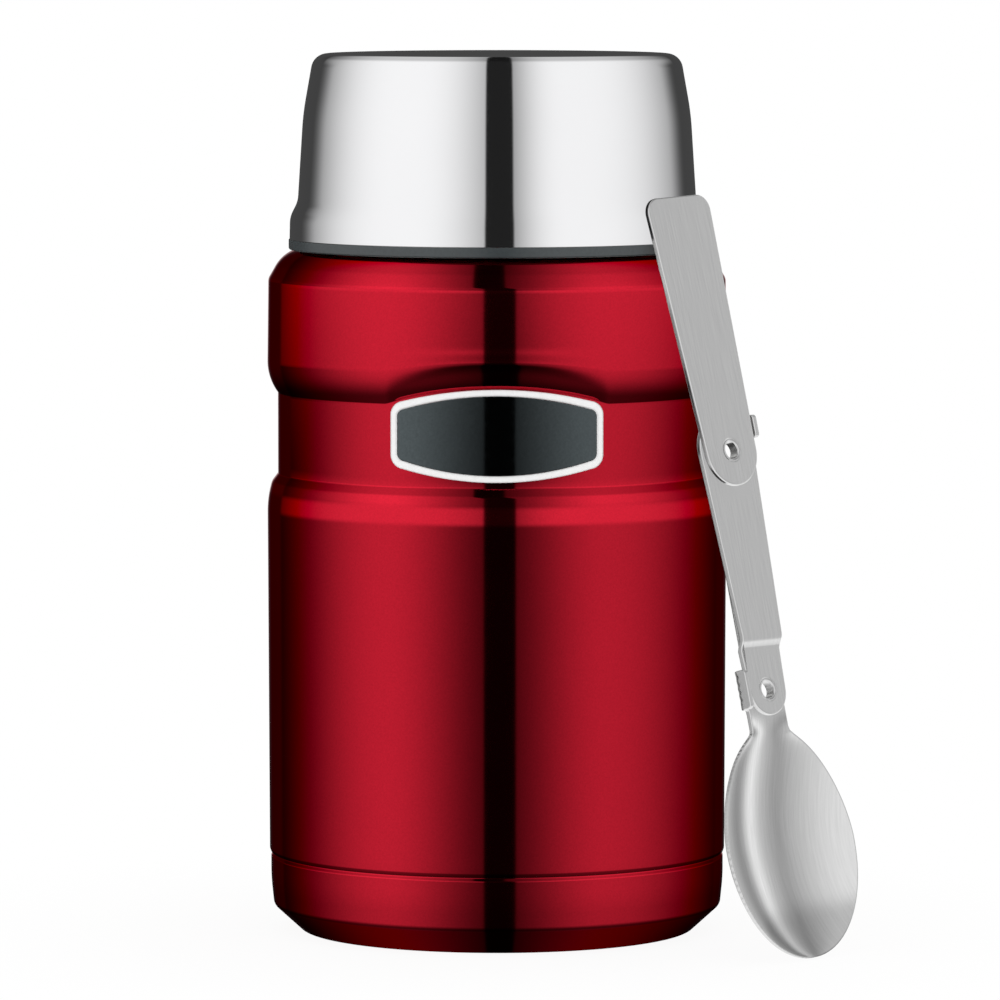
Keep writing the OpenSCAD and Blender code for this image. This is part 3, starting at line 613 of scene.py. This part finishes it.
def make_jar():
    path = [(SEAM_R, SEAM_Z, 0), (DRUM_R - DRUM_TAPER, SEAM_Z + 0.7, 0.8), (DRUM_R, SWELL_Z, SWELL_R),
            (SWELL_END_R, SWELL_END_Z, 2.5), (WAIST_R, WAIST_CORNERS[0], 0.6), (WAIST_R, WAIST_CORNERS[1], 0.4),
            (DRUM_R, FLANK_Z, FLANK_R), (CREASE_R, CREASE_Z, 2.0), (SHOULDER_R, SHOULDER_Z, 8.0),
            (NECK_R, SHOULDER_Z, 1.2), (NECK_R, LIP_Z - STEEL_T, 0)]
    inner = [(DRUM_R - DRUM_TAPER - STEEL_T, SEAM_Z, 0)] + moved(path, STEEL_T)[2:]
    loop = softened(rounded(path) + rounded(inner)[::-1], 0.12)
    loop = spread(spread(loop, 2.0, 0, 104), 0.4, 104, 130)
    loop = spread(spread(loop, 2.0, 130, 149), 0.4, 149.5, 162)
    shell = lathe("shell", loop, columns=480, warp=shell_warp)
    red_or_steel(shell, lambda r, out, up: up > 0.3 and r > NECK_R + 3 or r > 44 and out > 0)
    fit(shell, "jar", "red_paint", [FINISH["red_paint"], FINISH["vessel_steel"]], "outer_shell")

    path = [(0, DIMPLE_Z, 0), (DIMPLE_R, DIMPLE_Z, 0.8), (DIMPLE_R + 1.6, RECESS_H, 0.8), (RECESS_R, RECESS_H, 0.8),
            (FOOT_IN_R, 0, 0.8), (FOOT_R, 0, 2.0), (CUP_R - CONE_IN, CONE_Z, 2.0), (CUP_R, CONE_TOP_Z, CONE_ROUND),
            (CUP_R, SEAM_Z - 0.9, 0.5), (CUP_R - 0.5, SEAM_Z - 0.25, 0.3),
            (CUP_R, SEAM_Z + 0.5, 0.3), (CUP_R, SKIRT_TOP_Z, 0)]
    cup = lathe("bottom", softened(rounded(path) + rounded(moved([q for q in path if q[1] != SEAM_Z - 0.25],
                                                                STEEL_T))[::-1], 0.12), columns=360)
    red_or_steel(cup, lambda r, out, up: abs(out) > 0.22 and r > 46 or up < -0.1)
    fit(cup, "jar", "red_paint", [FINISH["red_paint"], FINISH["vessel_steel"]], "bottom_cup")

    # a boss and a ring are pressed into the disc
    disc_r, low_z = RECESS_R - 0.8, RECESS_H - 0.8
    loop = [(0, low_z + 0.15), (7, low_z + 0.15), (7.6, low_z), (24, low_z), (24.4, low_z + 0.12),
            (25.2, low_z + 0.12), (25.6, low_z), (disc_r, low_z), (disc_r, RECESS_H), (0, RECESS_H)]
    disc = lathe("base_plate", softened(loop, 0.3))
    fit(disc, "jar", "vessel_steel", FINISH["vessel_steel"], "base_disc")

    out_r, mouth_out = VESSEL_R + STEEL_T, MOUTH_R + STEEL_T
    path = [(0, VESSEL_FLOOR_Z - STEEL_T, 0), (out_r, VESSEL_FLOOR_Z - STEEL_T, 8 + STEEL_T),
            (out_r, VESSEL_SHOULDER_Z, 6), (mouth_out, VESSEL_SHOULDER_Z + VESSEL_R - MOUTH_R, 4),
            (mouth_out, LIP_Z - STEEL_T, 0.3), (NECK_R, LIP_Z - STEEL_T, 0)]
    loop = spread(softened(sheet(path, STEEL_T), 0.15), 0.5, 143.5, 161)
    vessel = lathe("vessel", spread(loop, 4.0, 8, 143), columns=300, warp=vessel_warp)
    fit(vessel, "jar", "vessel_steel", FINISH["vessel_steel"], "inner_vessel")


def badge_outline(d):
    """Outline of the badge, made smaller by d all round."""
    half_w, half_h = BADGE_W / 2 - d, BADGE_H / 2 - d
    bow_r = (half_w ** 2 + BADGE_BOW ** 2) / (2 * BADGE_BOW)
    half_turn = math.asin(half_w / bow_r)
    tip = np.array([half_w, half_h - BADGE_BOW])
    before = tip - 6 * np.array([math.cos(half_turn), -math.sin(half_turn)])
    bend = corner(before, tip, (half_w, 0), max(0.3, BADGE_CORNER - d))
    bow_xs = np.linspace(0.4 - bend[0][0], bend[0][0] - 0.4, 41)
    bow = [(x, half_h - bow_r + math.sqrt(bow_r ** 2 - x * x)) for x in bow_xs]
    top = bow + [tuple(q) for q in bend]
    return top + [(x, -z) for x, z in top[::-1]] + [(-x, -z) for x, z in bend] + [(-x, z) for x, z in bend[::-1]]


def on_waist(x, z, n):
    """Carries a flat outline seen from the front onto the waist."""
    r = WAIST_R + SEAT_FIT + n
    return np.stack([x, -np.sqrt(np.maximum(r * r - x * x, 1)), BADGE_Z + z + 0 * n], 1)


def make_badge():
    rim = plate("badge_rim", badge_outline(0), [badge_outline(BADGE_RIM)], BADGE_T, on_waist, edge=0.4, grid=1.0)
    fit(rim, "jar", "badge_rim", FINISH["badge_rim"], "badge_frame")
    field = plate("badge_field", badge_outline(BADGE_RIM + SEAT_FIT), [], BADGE_FIELD_T, on_waist, edge=0.1, grid=1.2)
    fit(field, "jar", "badge_grey", FINISH["badge_grey"], "badge_field")


def make_stopper():
    ring = lathe("seal_ring", softened([(PLUG_R + SIDE_FIT, LIP_Z), (NECK_R - SIDE_FIT, LIP_Z),
                                        (NECK_R - SIDE_FIT, FLANGE_Z), (PLUG_R + SIDE_FIT, FLANGE_Z)], 0.3))
    fit(ring, "seal", "seal_rubber", FINISH["seal_rubber"], "stopper_seal")
    loop = rounded_loop([(0, WELL_FLOOR_Z - 2, 0), (WELL_R, WELL_FLOOR_Z - 2, 0), (WELL_R, PLUG_COVER_Z, 0),
                         (PLUG_R, PLUG_COVER_Z, 0), (PLUG_R, FLANGE_Z, 0), (FLANGE_R, FLANGE_Z, 0.6),
                         (FLANGE_R, STOPPER_TOP_Z, 1.2), (WELL_R, STOPPER_TOP_Z, 0.8), (WELL_R, WELL_FLOOR_Z, 2.5),
                         (16, WELL_FLOOR_Z, 0.4), (15.6, WELL_FLOOR_Z + 0.4, 0.3), (14.6, WELL_FLOOR_Z + 0.4, 0.3),
                         (14.2, WELL_FLOOR_Z, 0.4), (0, WELL_FLOOR_Z, 0)])
    loop = spread(spread(softened(loop, 0.15), 0.5, PLUG_THREAD["low"] - 2, 160), 0.3, FLANGE_Z, STOPPER_TOP_Z)
    plug = lathe("plug", loop, columns=GRIPS * 16, warp=plug_warp)
    fit(plug, "stopper", "black_plastic", FINISH["black_plastic"], "stopper_body")
    loop = rounded_loop([(0, PLUG_BOTTOM_Z, 0), (28, PLUG_BOTTOM_Z, 0.4), (28.5, PLUG_BOTTOM_Z + 0.5, 0.4),
                         (30, PLUG_BOTTOM_Z + 0.5, 0.4), (30.5, PLUG_BOTTOM_Z, 0.4), (PLUG_R, PLUG_BOTTOM_Z, 1.2),
                         (PLUG_R, PLUG_COVER_Z, 0), (WELL_R - SEAT_FIT, PLUG_COVER_Z, 0),
                         (WELL_R - SEAT_FIT, PLUG_COVER_Z + SPIGOT_H, 0.3),
                         (WELL_R - SEAT_FIT - SPIGOT_WALL, PLUG_COVER_Z + SPIGOT_H, 0.3),
                         (WELL_R - SEAT_FIT - SPIGOT_WALL, PLUG_COVER_Z, 0), (0, PLUG_COVER_Z, 0)])
    cover = lathe("plug_cover", softened(loop, 0.12))
    fit(cover, "stopper", "black_plastic", FINISH["black_plastic"], "stopper_cover")


def make_lid():
    side_r = NECK_R + 1.6 + LINER_T + LID_AIR + LID_T
    base_r = side_r + LID_FLARE
    top_z = LID_Z + LID_H
    path = [(base_r, LID_Z, 0), (base_r - 0.1, LID_Z + LID_FLARE_H, 6), (side_r, LID_Z + LID_STEP_H, 6),
            (side_r - LID_DRAFT, LID_Z + LID_DRAFT_H, 60), (side_r - LID_TOP_R, top_z, LID_TOP_R), (0, top_z, 0)]
    shell = lathe("lid", softened(sheet(path, LID_T), 0.15), columns=480)
    fit(shell, "lid", "polished_steel", FINISH["polished_steel"], "lid_shell")
    ring = lathe("trim", rounded_loop([(TRIM_IN_R, TRIM_Z, 0.2), (TRIM_R, TRIM_Z, 0.4), (TRIM_R, TRIM_Z + TRIM_H, 0.2),
                                       (TRIM_IN_R, TRIM_Z + TRIM_H, 0.1)]), columns=360)
    fit(ring, "lid_trim", "trim_plastic", FINISH["trim_plastic"], "trim_ring")
    offset = LID_T + LID_AIR
    inner, outer = rounded(moved(path, offset + LINER_T)), rounded(moved(path, offset))
    lip_low = LID_Z + SIDE_FIT
    lip_r = base_r - 0.1 - LID_T - SEAT_FIT
    loop = [(outer[0][0], lip_low), (lip_r, lip_low), (lip_r, lip_low + 1.5), (outer[0][0], lip_low + 1.5)]
    loop += [q for q in outer if q[1] > lip_low + 1.6] + [q for q in inner[::-1] if q[1] > lip_low + 0.1]
    loop += [(inner[0][0], lip_low)]
    loop = spread(spread(softened(loop, 0.15), 0.4, lip_low, LID_Z + 12), 3.0, LID_Z + 12, top_z - 8)
    liner = lathe("lid_inside", loop, columns=300, warp=liner_warp)
    fit(liner, "lid", "black_plastic", FINISH["black_plastic"], "lid_liner")


# ---- Spoon: x across, s along it from its tip, n towards the viewer ----
SPOON = (Matrix.Rotation(math.radians(SPOON_TURN), 4, "Z") @ Matrix.Translation((SPOON_SIDE, -TIP_OUT, TIP_Z))
         @ Matrix.Rotation(math.radians(-SPOON_LEAN), 4, "X"))
HANDLE_TURN = (Matrix.Translation((0, 0, UPPER_S)) @ Matrix.Rotation(math.radians(-HANDLE_PLAY), 4, "Y"))


def spoon_point(x, s, n, matrix=SPOON):
    m = np.array(matrix)
    return np.stack([x, -n, s], 1) @ m[:3, :3].T + m[:3, 3]


def bent_up(x, n, start, r_out, t):
    """Turns what lies further out than start up by a right angle, round a bend with outer radius r_out."""
    side = np.where(x < 0, -1.0, 1.0)
    u = np.abs(x) - start
    mid = r_out - t / 2
    a = np.clip(u / mid, 0, math.pi / 2)
    rest = np.maximum(u - mid * math.pi / 2, 0)
    bent_x = start + (r_out - n) * np.sin(a)
    bent_n = r_out - (r_out - n) * np.cos(a) + rest
    return np.where(u > 0, side * bent_x, x), np.where(u > 0, bent_n, n)


def bowl_oval(s):
    throat = s > BOWL_WIDE_S
    reach = np.where(throat, BOWL_LEN - THROAT_LEN - BOWL_WIDE_S, BOWL_WIDE_S)
    power = np.where(throat, BOWL_THROAT_POWER, BOWL_TIP_POWER)
    return BOWL_W / 2 * np.sqrt(1 - np.minimum(1, np.abs(s - BOWL_WIDE_S) / reach) ** power)


def bowl_half(s):
    blend = (bowl_oval(s) ** TANG_BLEND_POWER + (TANG_W / 2) ** TANG_BLEND_POWER) ** (1 / TANG_BLEND_POWER)
    return np.where(s > BOWL_WIDE_S, blend, bowl_oval(s))


def bowl_sink(s):
    out = np.clip((s - BOWL_WIDE_S) / (BOWL_LEN - BOWL_WIDE_S), 0, 1)
    return BOWL_DEPTH * np.where(s > BOWL_WIDE_S, (1 - out ** 2) ** THROAT_SINK_POWER,
                                 (2 * bowl_oval(s) / BOWL_W) ** TIP_SINK_POWER)


def bowl_place(x, s, n):
    k = np.clip(np.abs(x) / np.maximum(bowl_half(s), 0.05), 0, 1)
    bx, bn = bent_up(x, n, LUG_X + SPOON_T - BEND_R, BEND_R, SPOON_T)
    lug = (s > BOWL_LEN - 0.5) & (x < -LUG_X * 0.9)
    sink = bowl_sink(s) * (1 - k ** BOWL_WALL_POWER)
    return spoon_point(np.where(lug, bx, x), s, np.where(lug, bn, n) - sink)


def link_place(x, s, n):
    rise = smooth_step(s, JOGGLE_S - JOGGLE_LEN / 2, JOGGLE_S + JOGGLE_LEN / 2)
    tab = (s > UPPER_S) & (x > TAB_X * 0.9)
    bx, bn = bent_up(x, n, TAB_X + SPOON_T - BEND_R, BEND_R, SPOON_T)
    return spoon_point(np.where(tab, bx, x), s, np.where(tab, bn, n) + LINK_LOW_N + (LINK_HIGH_N - LINK_LOW_N) * rise)


def handle_place(x, s, n):
    return spoon_point(x, s, n + HANDLE_N, SPOON @ HANDLE_TURN)


def arc(cx, cs, r, a0, a1, steps=24):
    """Points of an arc; angles in degrees from the x direction."""
    return [(cx + r * math.cos(math.radians(a0 + (a1 - a0) * i / steps)),
             cs + r * math.sin(math.radians(a0 + (a1 - a0) * i / steps))) for i in range(steps + 1)]


def make_spoon():
    hole_r = RIVET_R + HOLE_PLAY
    tip = [1 - math.cos(math.radians(90 * i / 26)) for i in range(1, 27)]
    rows = [0.02 + (BOWL_WIDE_S - 0.02) * q for q in tip]
    rows += [BOWL_WIDE_S + (BOWL_LEN - BOWL_WIDE_S) * i / 36 for i in range(1, 37)]
    right = [(float(bowl_half(np.array(s))), s) for s in rows]
    bent = LUG_X + SPOON_T - BEND_R + (BEND_R - SPOON_T / 2) * math.pi / 2 + LUG_TOP_N - BEND_R
    lug_low = BOWL_LEN + 0.3
    lug_high = LOWER_S + LUG_LEN - (LOWER_S - BOWL_LEN)
    lug = rounded([(-4.2, LOWER_S + 4.1, 0), (-5.3, lug_high, 0.8), (-bent, lug_high, 1.0),
                   (-bent, lug_low, 1.0), (-TANG_W / 2 - 0.1, lug_low, 0.4), (-TANG_W / 2 - 0.05, lug_low - 0.4, 0)])
    outline = [(0.0, 0.0)] + right + arc(0, LOWER_S, TANG_W / 2, 0, 130) + [tuple(q) for q in lug] \
        + [(-x, s) for x, s in right[::-1] if s < lug_low - 0.5]
    hole = arc(0, LOWER_S, hole_r, 0, 345, 46)
    bowl = plate("spoon_head", outline, [hole], SPOON_T, bowl_place, edge=0.3, step=0.7, grid=0.9)
    fit(bowl, "spoon", "spoon_steel", FINISH["spoon_steel"], "spoon_bowl")

    tilt = math.degrees(math.asin((LINK_HIGH_W - LINK_LOW_W) / 2 / (UPPER_S - LOWER_S)))
    bent = TAB_X + SPOON_T - BEND_R + (BEND_R - SPOON_T / 2) * math.pi / 2 + (HANDLE_N + SPOON_T - LINK_HIGH_N) - BEND_R
    tab_low, tab_high = UPPER_S + TAB_S, UPPER_S + TAB_S + TAB_LEN
    r = LINK_HIGH_W / 2
    tab = rounded([(r * math.cos(math.radians(14)), UPPER_S + r * math.sin(math.radians(14)), 0),
                   (r + 0.1, tab_low, 0.3), (bent, tab_low, 0.8), (bent, tab_high, 0.8),
                   (6.2, tab_high, 0.6), (r * math.cos(math.radians(58)), UPPER_S + r * math.sin(math.radians(58)), 0)])
    outline = arc(0, LOWER_S, LINK_LOW_W / 2, 180 + tilt, 360 - tilt, 30) \
        + arc(0, UPPER_S, r, -tilt, 12, 4) + [tuple(q) for q in tab] + arc(0, UPPER_S, r, 62, 180 + tilt, 30)
    link = plate("spoon_middle", outline, [arc(0, LOWER_S, hole_r, 0, 345, 46), arc(0, UPPER_S, hole_r, 0, 345, 46)],
                 SPOON_T, link_place, edge=0.3, step=0.7, grid=0.9)
    fit(link, "link", "spoon_steel", FINISH["spoon_steel"], "spoon_link")

    half, end = HANDLE_LOW_W / 2, HANDLE_HIGH_W / 2
    outline = [tuple(q) for q in rounded([(half, 0.5, 0), (end, HANDLE_LEN, HANDLE_CORNER),
                                          (-end, HANDLE_LEN, HANDLE_CORNER), (-half, 0.5, 0)])]
    outline += arc(0, 0, half, 180, 360, 36)[1:-1]
    hole = arc(0, 0, hole_r, 0, 345, 46)
    handle = plate("spoon_end", outline, [hole], SPOON_T, handle_place, edge=0.35, step=0.8, grid=1.2)
    fit(handle, "handle", "spoon_steel", FINISH["spoon_steel"], "spoon_handle")

    length = 2 * SPOON_T + PLATE_GAP + 2 * RIVET_PROUD
    flare = RIVET_R + RIVET_FLARE
    bore_r = RIVET_R - RIVET_WALL
    section = rounded_loop([(bore_r, 0, 0.35), (flare, 0, 0.08), (RIVET_R, RIVET_FLARE, 0.1),
                            (RIVET_R, length - RIVET_FLARE, 0.1), (flare, length, 0.08), (bore_r, length, 0.45)])
    for name, body, node, s, n in (("rivet_low", "spoon", "lower_rivet", LOWER_S, 0.0),
                                   ("rivet_high", "link", "upper_rivet", UPPER_S, LINK_HIGH_N)):
        matrix = SPOON @ Matrix.Translation((0, RIVET_PROUD - n, s)) @ Matrix.Rotation(math.radians(90), 4, "X")
        fit(lathe(name, section, columns=96, matrix=matrix), body, "spoon_steel", FINISH["rivet_steel"], node)


def dress_hidden_nodes():
    """The CAD nodes that stay get their finishes."""
    for node, finish in (("foil_wrap", "copper_foil"), ("getter", "getter_metal"), ("seal_bead", "seal_glass"),
                         ("stopper_foam", "foam")):
        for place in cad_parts[node].material_slots:
            place.material = FINISH[finish]
    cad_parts["foil_wrap"].visible_glossy = False


make_jar()
make_badge()
make_stopper()
make_lid()
make_spoon()
dress_hidden_nodes()
for name in ("shell", "bottom", "lid", "trim", "spoon_head", "spoon_middle", "spoon_end", "rivet_low", "rivet_high"):
    bpy.data.objects[name].visible_glossy = False    # bright finishes reflect the tent, not each other


# ---- Studio ----
# Unit direction from the object to the photograph's camera. The tents are laid out for that viewpoint and stand
# still in the world: they don't follow the camera.
TO_CAMERA_Y, TO_CAMERA_Z = -0.997, 0.0773
# Softboxes: turn in degrees, half width on the gap's side and on the far side, steepness of the edge, light
DRUM_BOXES = ((-28.5, 18.0, 22.0, 2, 0.82), (28.0, 17.5, 26.0, 2, 0.72))
LID_BOXES = ((-27.0, 27.0, 35.0, 3, 1.10), (22.0, 17.7, 42.0, 3, 1.07))
SPOON_BOXES = ((4.0, 20.0, 20.0, 2, 0.52), (38.0, 5.0, 5.0, 2, -0.14),
               (54.5, 6.0, 5.0, 2, 0.70), (68.0, 6.0, 8.0, 2, -0.20))
SPOON_BASE, SPOON_LOW = 0.55, 1.1
GAP, GAP_SOFT = (-3.3, 4.7), 0.4
BOXES_END, BOXES_END_SOFT, SIDE = (-69.75, 72.25), 1.25, 0.055
DRUM_GAP_LIGHT, LID_GAP_LIGHT, BEHIND, LID_BEHIND = 0.005, 0.017, 0.45, 0.06
GAP_SHIFT, GAP_SHIFT_RISE = 2.7, (20.0, 30.0)    # degrees that the drum's gap moves to the left as the rise grows
WALL_TURN = (84.0, 87.0)    # the wall behind the object begins here
# Rise where a change of light starts, rise where it ends, factor there
DRUM_LEVELS = ((9.0, 13.0, 1.55), (24.0, 36.0, 0.63), (2.0, -28.0, 0.11), (-34.0, -42.0, 1.7))
LID_LEVELS = ((42.0, 56.0, 0.6), (-4.0, -28.0, 0.10))
SPOON_LEVELS = ((24.0, 31.0, 0.65),)


class Light(Graph):
    """A tent that glows by direction. Turn and rise are those of the surface that mirrors it to that viewpoint."""

    def __init__(self, name):
        super().__init__(name)
        self.nodes.clear()
        unit_v = self.node("VectorMath", self.place(), operation="NORMALIZE")
        x, self.back, self.up = self.node("SeparateXYZ", unit_v.outputs["Vector"]).outputs
        depth = self.math("SUBTRACT", -TO_CAMERA_Y, self.back)
        flat = self.math("SQRT", self.math("ADD", self.math("MULTIPLY", x, x), self.math("MULTIPLY", depth, depth)))
        self.turn = self.math("DEGREES", self.math("ARCTAN2", x, depth))
        self.rise = self.math("DEGREES", self.math("ARCTAN2", self.math("ADD", self.up, TO_CAMERA_Z), flat))

    def softbox(self, turn, inner, outer, power, light):
        """Glow round a turn, with half widths towards the gap and away from it."""
        outside = self.math("GREATER_THAN", self.math("MULTIPLY", self.turn, math.copysign(1, turn)), abs(turn))
        width = self.math("MULTIPLY_ADD", outside, outer - inner, inner)
        off = self.math("ABSOLUTE", self.math("SUBTRACT", self.turn, turn))
        fall = self.math("POWER", self.math("DIVIDE", off, width), power)
        return self.math("MULTIPLY", self.math("EXPONENT", self.math("MULTIPLY", fall, -1.0)), light)

    def boxes(self, boxes, gap, shift=0.0):
        """Softboxes left and right, with a dark gap between them, dark ends and a lighter wall behind the object."""
        glow = self.math("MAXIMUM", self.softbox(*boxes[0]), self.softbox(*boxes[1]))
        turn = self.math("ADD", self.turn, self.step(self.rise, *GAP_SHIFT_RISE, 0.0, shift))
        in_gap = self.math("MULTIPLY", self.step(turn, GAP[0] - GAP_SOFT, GAP[0] + GAP_SOFT),
                           self.step(turn, GAP[1] + GAP_SOFT, GAP[1] - GAP_SOFT))
        left, right = BOXES_END
        beyond = self.math("MAXIMUM", self.step(self.turn, left + BOXES_END_SOFT, left - BOXES_END_SOFT),
                           self.step(self.turn, right - BOXES_END_SOFT, right + BOXES_END_SOFT))
        behind = self.step(self.math("ABSOLUTE", self.turn), *WALL_TURN, SIDE, BEHIND)
        return self.mix(beyond, self.mix(in_gap, glow, gap), behind)

    def levels(self, glow, *steps):
        """Changes the glow by a factor between two rises."""
        for low, high, factor in steps:
            glow = self.math("MULTIPLY", glow, self.step(self.rise, low, high, 1.0, factor))
        return glow

    def shine(self, glow, through=False):
        """Sets the glow. A tent that isn't the outermost lets rays through to the others."""
        shader = self.node("Emission").outputs[0]
        self.put(glow, shader.node.inputs["Strength"])
        if through:
            shader = self.node("AddShader", shader, self.node("BsdfTransparent").outputs[0]).outputs[0]
        self.node("OutputMaterial", shader)
        return self.mat


def drum_light():
    tent = Light("drum_light")
    share = tent.math("MULTIPLY", tent.step(tent.rise, 0.3, 3.2), tent.step(tent.rise, 9.0, 12.0, 1.0, 0.0))
    glow = tent.mix(share, tent.boxes(DRUM_BOXES, DRUM_GAP_LIGHT, GAP_SHIFT), tent.boxes(LID_BOXES, LID_GAP_LIGHT))
    return tent.shine(tent.levels(glow, *DRUM_LEVELS))


def lid_light():
    tent = Light("lid_light")
    glow = tent.levels(tent.boxes(LID_BOXES, LID_GAP_LIGHT), *LID_LEVELS)
    low = tent.math("MULTIPLY", tent.step(tent.back, 0.5, 0.8), tent.step(tent.up, 0.45, 0.20))
    return tent.shine(tent.mix(low, glow, LID_BEHIND), through=True)


def spoon_light():
    tent = Light("spoon_light")
    glow = SPOON_BASE
    for box in SPOON_BOXES:
        glow = tent.math("ADD", tent.softbox(*box), glow)
    glow = tent.levels(glow, *SPOON_LEVELS)
    return tent.shine(tent.mix(tent.step(tent.rise, -12.0, -18.0), glow, SPOON_LOW), through=True)


def light_only(light, pieces, state):
    """Light linking: the light reaches these pieces alone, or all but these."""
    group = bpy.data.collections.new(light.name + "_on")
    for piece in pieces:
        group.objects.link(piece)
    for entry in group.collection_objects:
        entry.light_linking.link_state = state
    light.light_linking.receiver_collection = group


def stage_object(name, mesh, material, **rays):
    piece = bpy.data.objects.new(name, mesh)
    piece.data.materials.append(material)
    bpy.context.collection.objects.link(piece)
    for ray, seen in rays.items():
        setattr(piece, "visible_" + ray, seen)
    return piece


def disc_mesh(name, radius, z, sides=96):
    mesh = bpy.data.meshes.new(name)
    angles = [2 * math.pi * i / sides for i in range(sides)]
    ring = [(radius * math.cos(a), radius * math.sin(a), z) for a in angles]
    mesh.from_pydata(ring, [], [list(range(sides))])
    return mesh


def ball_mesh(name, radius, rows=24, columns=48):
    mesh = bpy.data.meshes.new(name)
    verts, faces = [], []
    for i in range(rows + 1):
        up = math.pi * (i / rows - 0.5)
        for j in range(columns):
            round_z = 2 * math.pi * j / columns
            verts.append((radius * math.cos(up) * math.cos(round_z), radius * math.cos(up) * math.sin(round_z),
                          radius * math.sin(up)))
            if i < rows:
                low, m = i * columns, (j + 1) % columns
                faces.append((low + j, low + columns + j, low + columns + m, low + m))
    mesh.from_pydata(verts, [], faces)
    return mesh


# Floor in metres: its radius, how much of plain white the camera sees by the jar, and where that grows to 1
FLOOR_R, FLOOR_WHITE, FLOOR_FADE = 0.5, 0.93, (0.05, 0.16)


def make_studio():
    spoon = [bpy.data.objects[name] for name in ("spoon_head", "spoon_middle", "spoon_end", "rivet_low", "rivet_high")]
    lid = [bpy.data.objects[name] for name in ("lid", "trim")]
    for name, material, radius, pieces, state in (("drum_tent", drum_light(), 25.0, lid + spoon, "EXCLUDE"),
                                                  ("lid_tent", lid_light(), 22.0, lid, "INCLUDE"),
                                                  ("spoon_tent", spoon_light(), 20.0, spoon, "INCLUDE")):
        tent = stage_object(name, ball_mesh(name, radius), material, camera=False, diffuse=False, shadow=False)
        light_only(tent, pieces, state)

    floor = Graph("white_floor")
    floor.nodes.clear()
    path = floor.node("LightPath").outputs
    seen = floor.math("MAXIMUM", floor.math("MAXIMUM", path["Is Camera Ray"], path["Is Glossy Ray"]),
                      path["Is Transmission Ray"])
    share = floor.math("MULTIPLY", seen, floor.step(floor.length(floor.place()), *FLOOR_FADE, FLOOR_WHITE, 1.0))
    diffuse = floor.node("BsdfDiffuse", (0.9, 0.9, 0.9, 1)).outputs[0]
    floor.node("OutputMaterial", floor.node("MixShader", share, diffuse, floor.node("Emission").outputs[0]).outputs[0])
    stage_object("floor", disc_mesh("floor", FLOOR_R, 0.0), floor.mat, glossy=False)

    world = bpy.data.worlds.new("white")
    bpy.context.scene.world = world
    world.use_nodes = True
    background = world.node_tree.nodes["Background"].inputs
    background["Color"].default_value = (1, 1, 1, 1)
    background["Strength"].default_value = 1.0
    bpy.context.scene.view_settings.view_transform = "Standard"


make_studio()
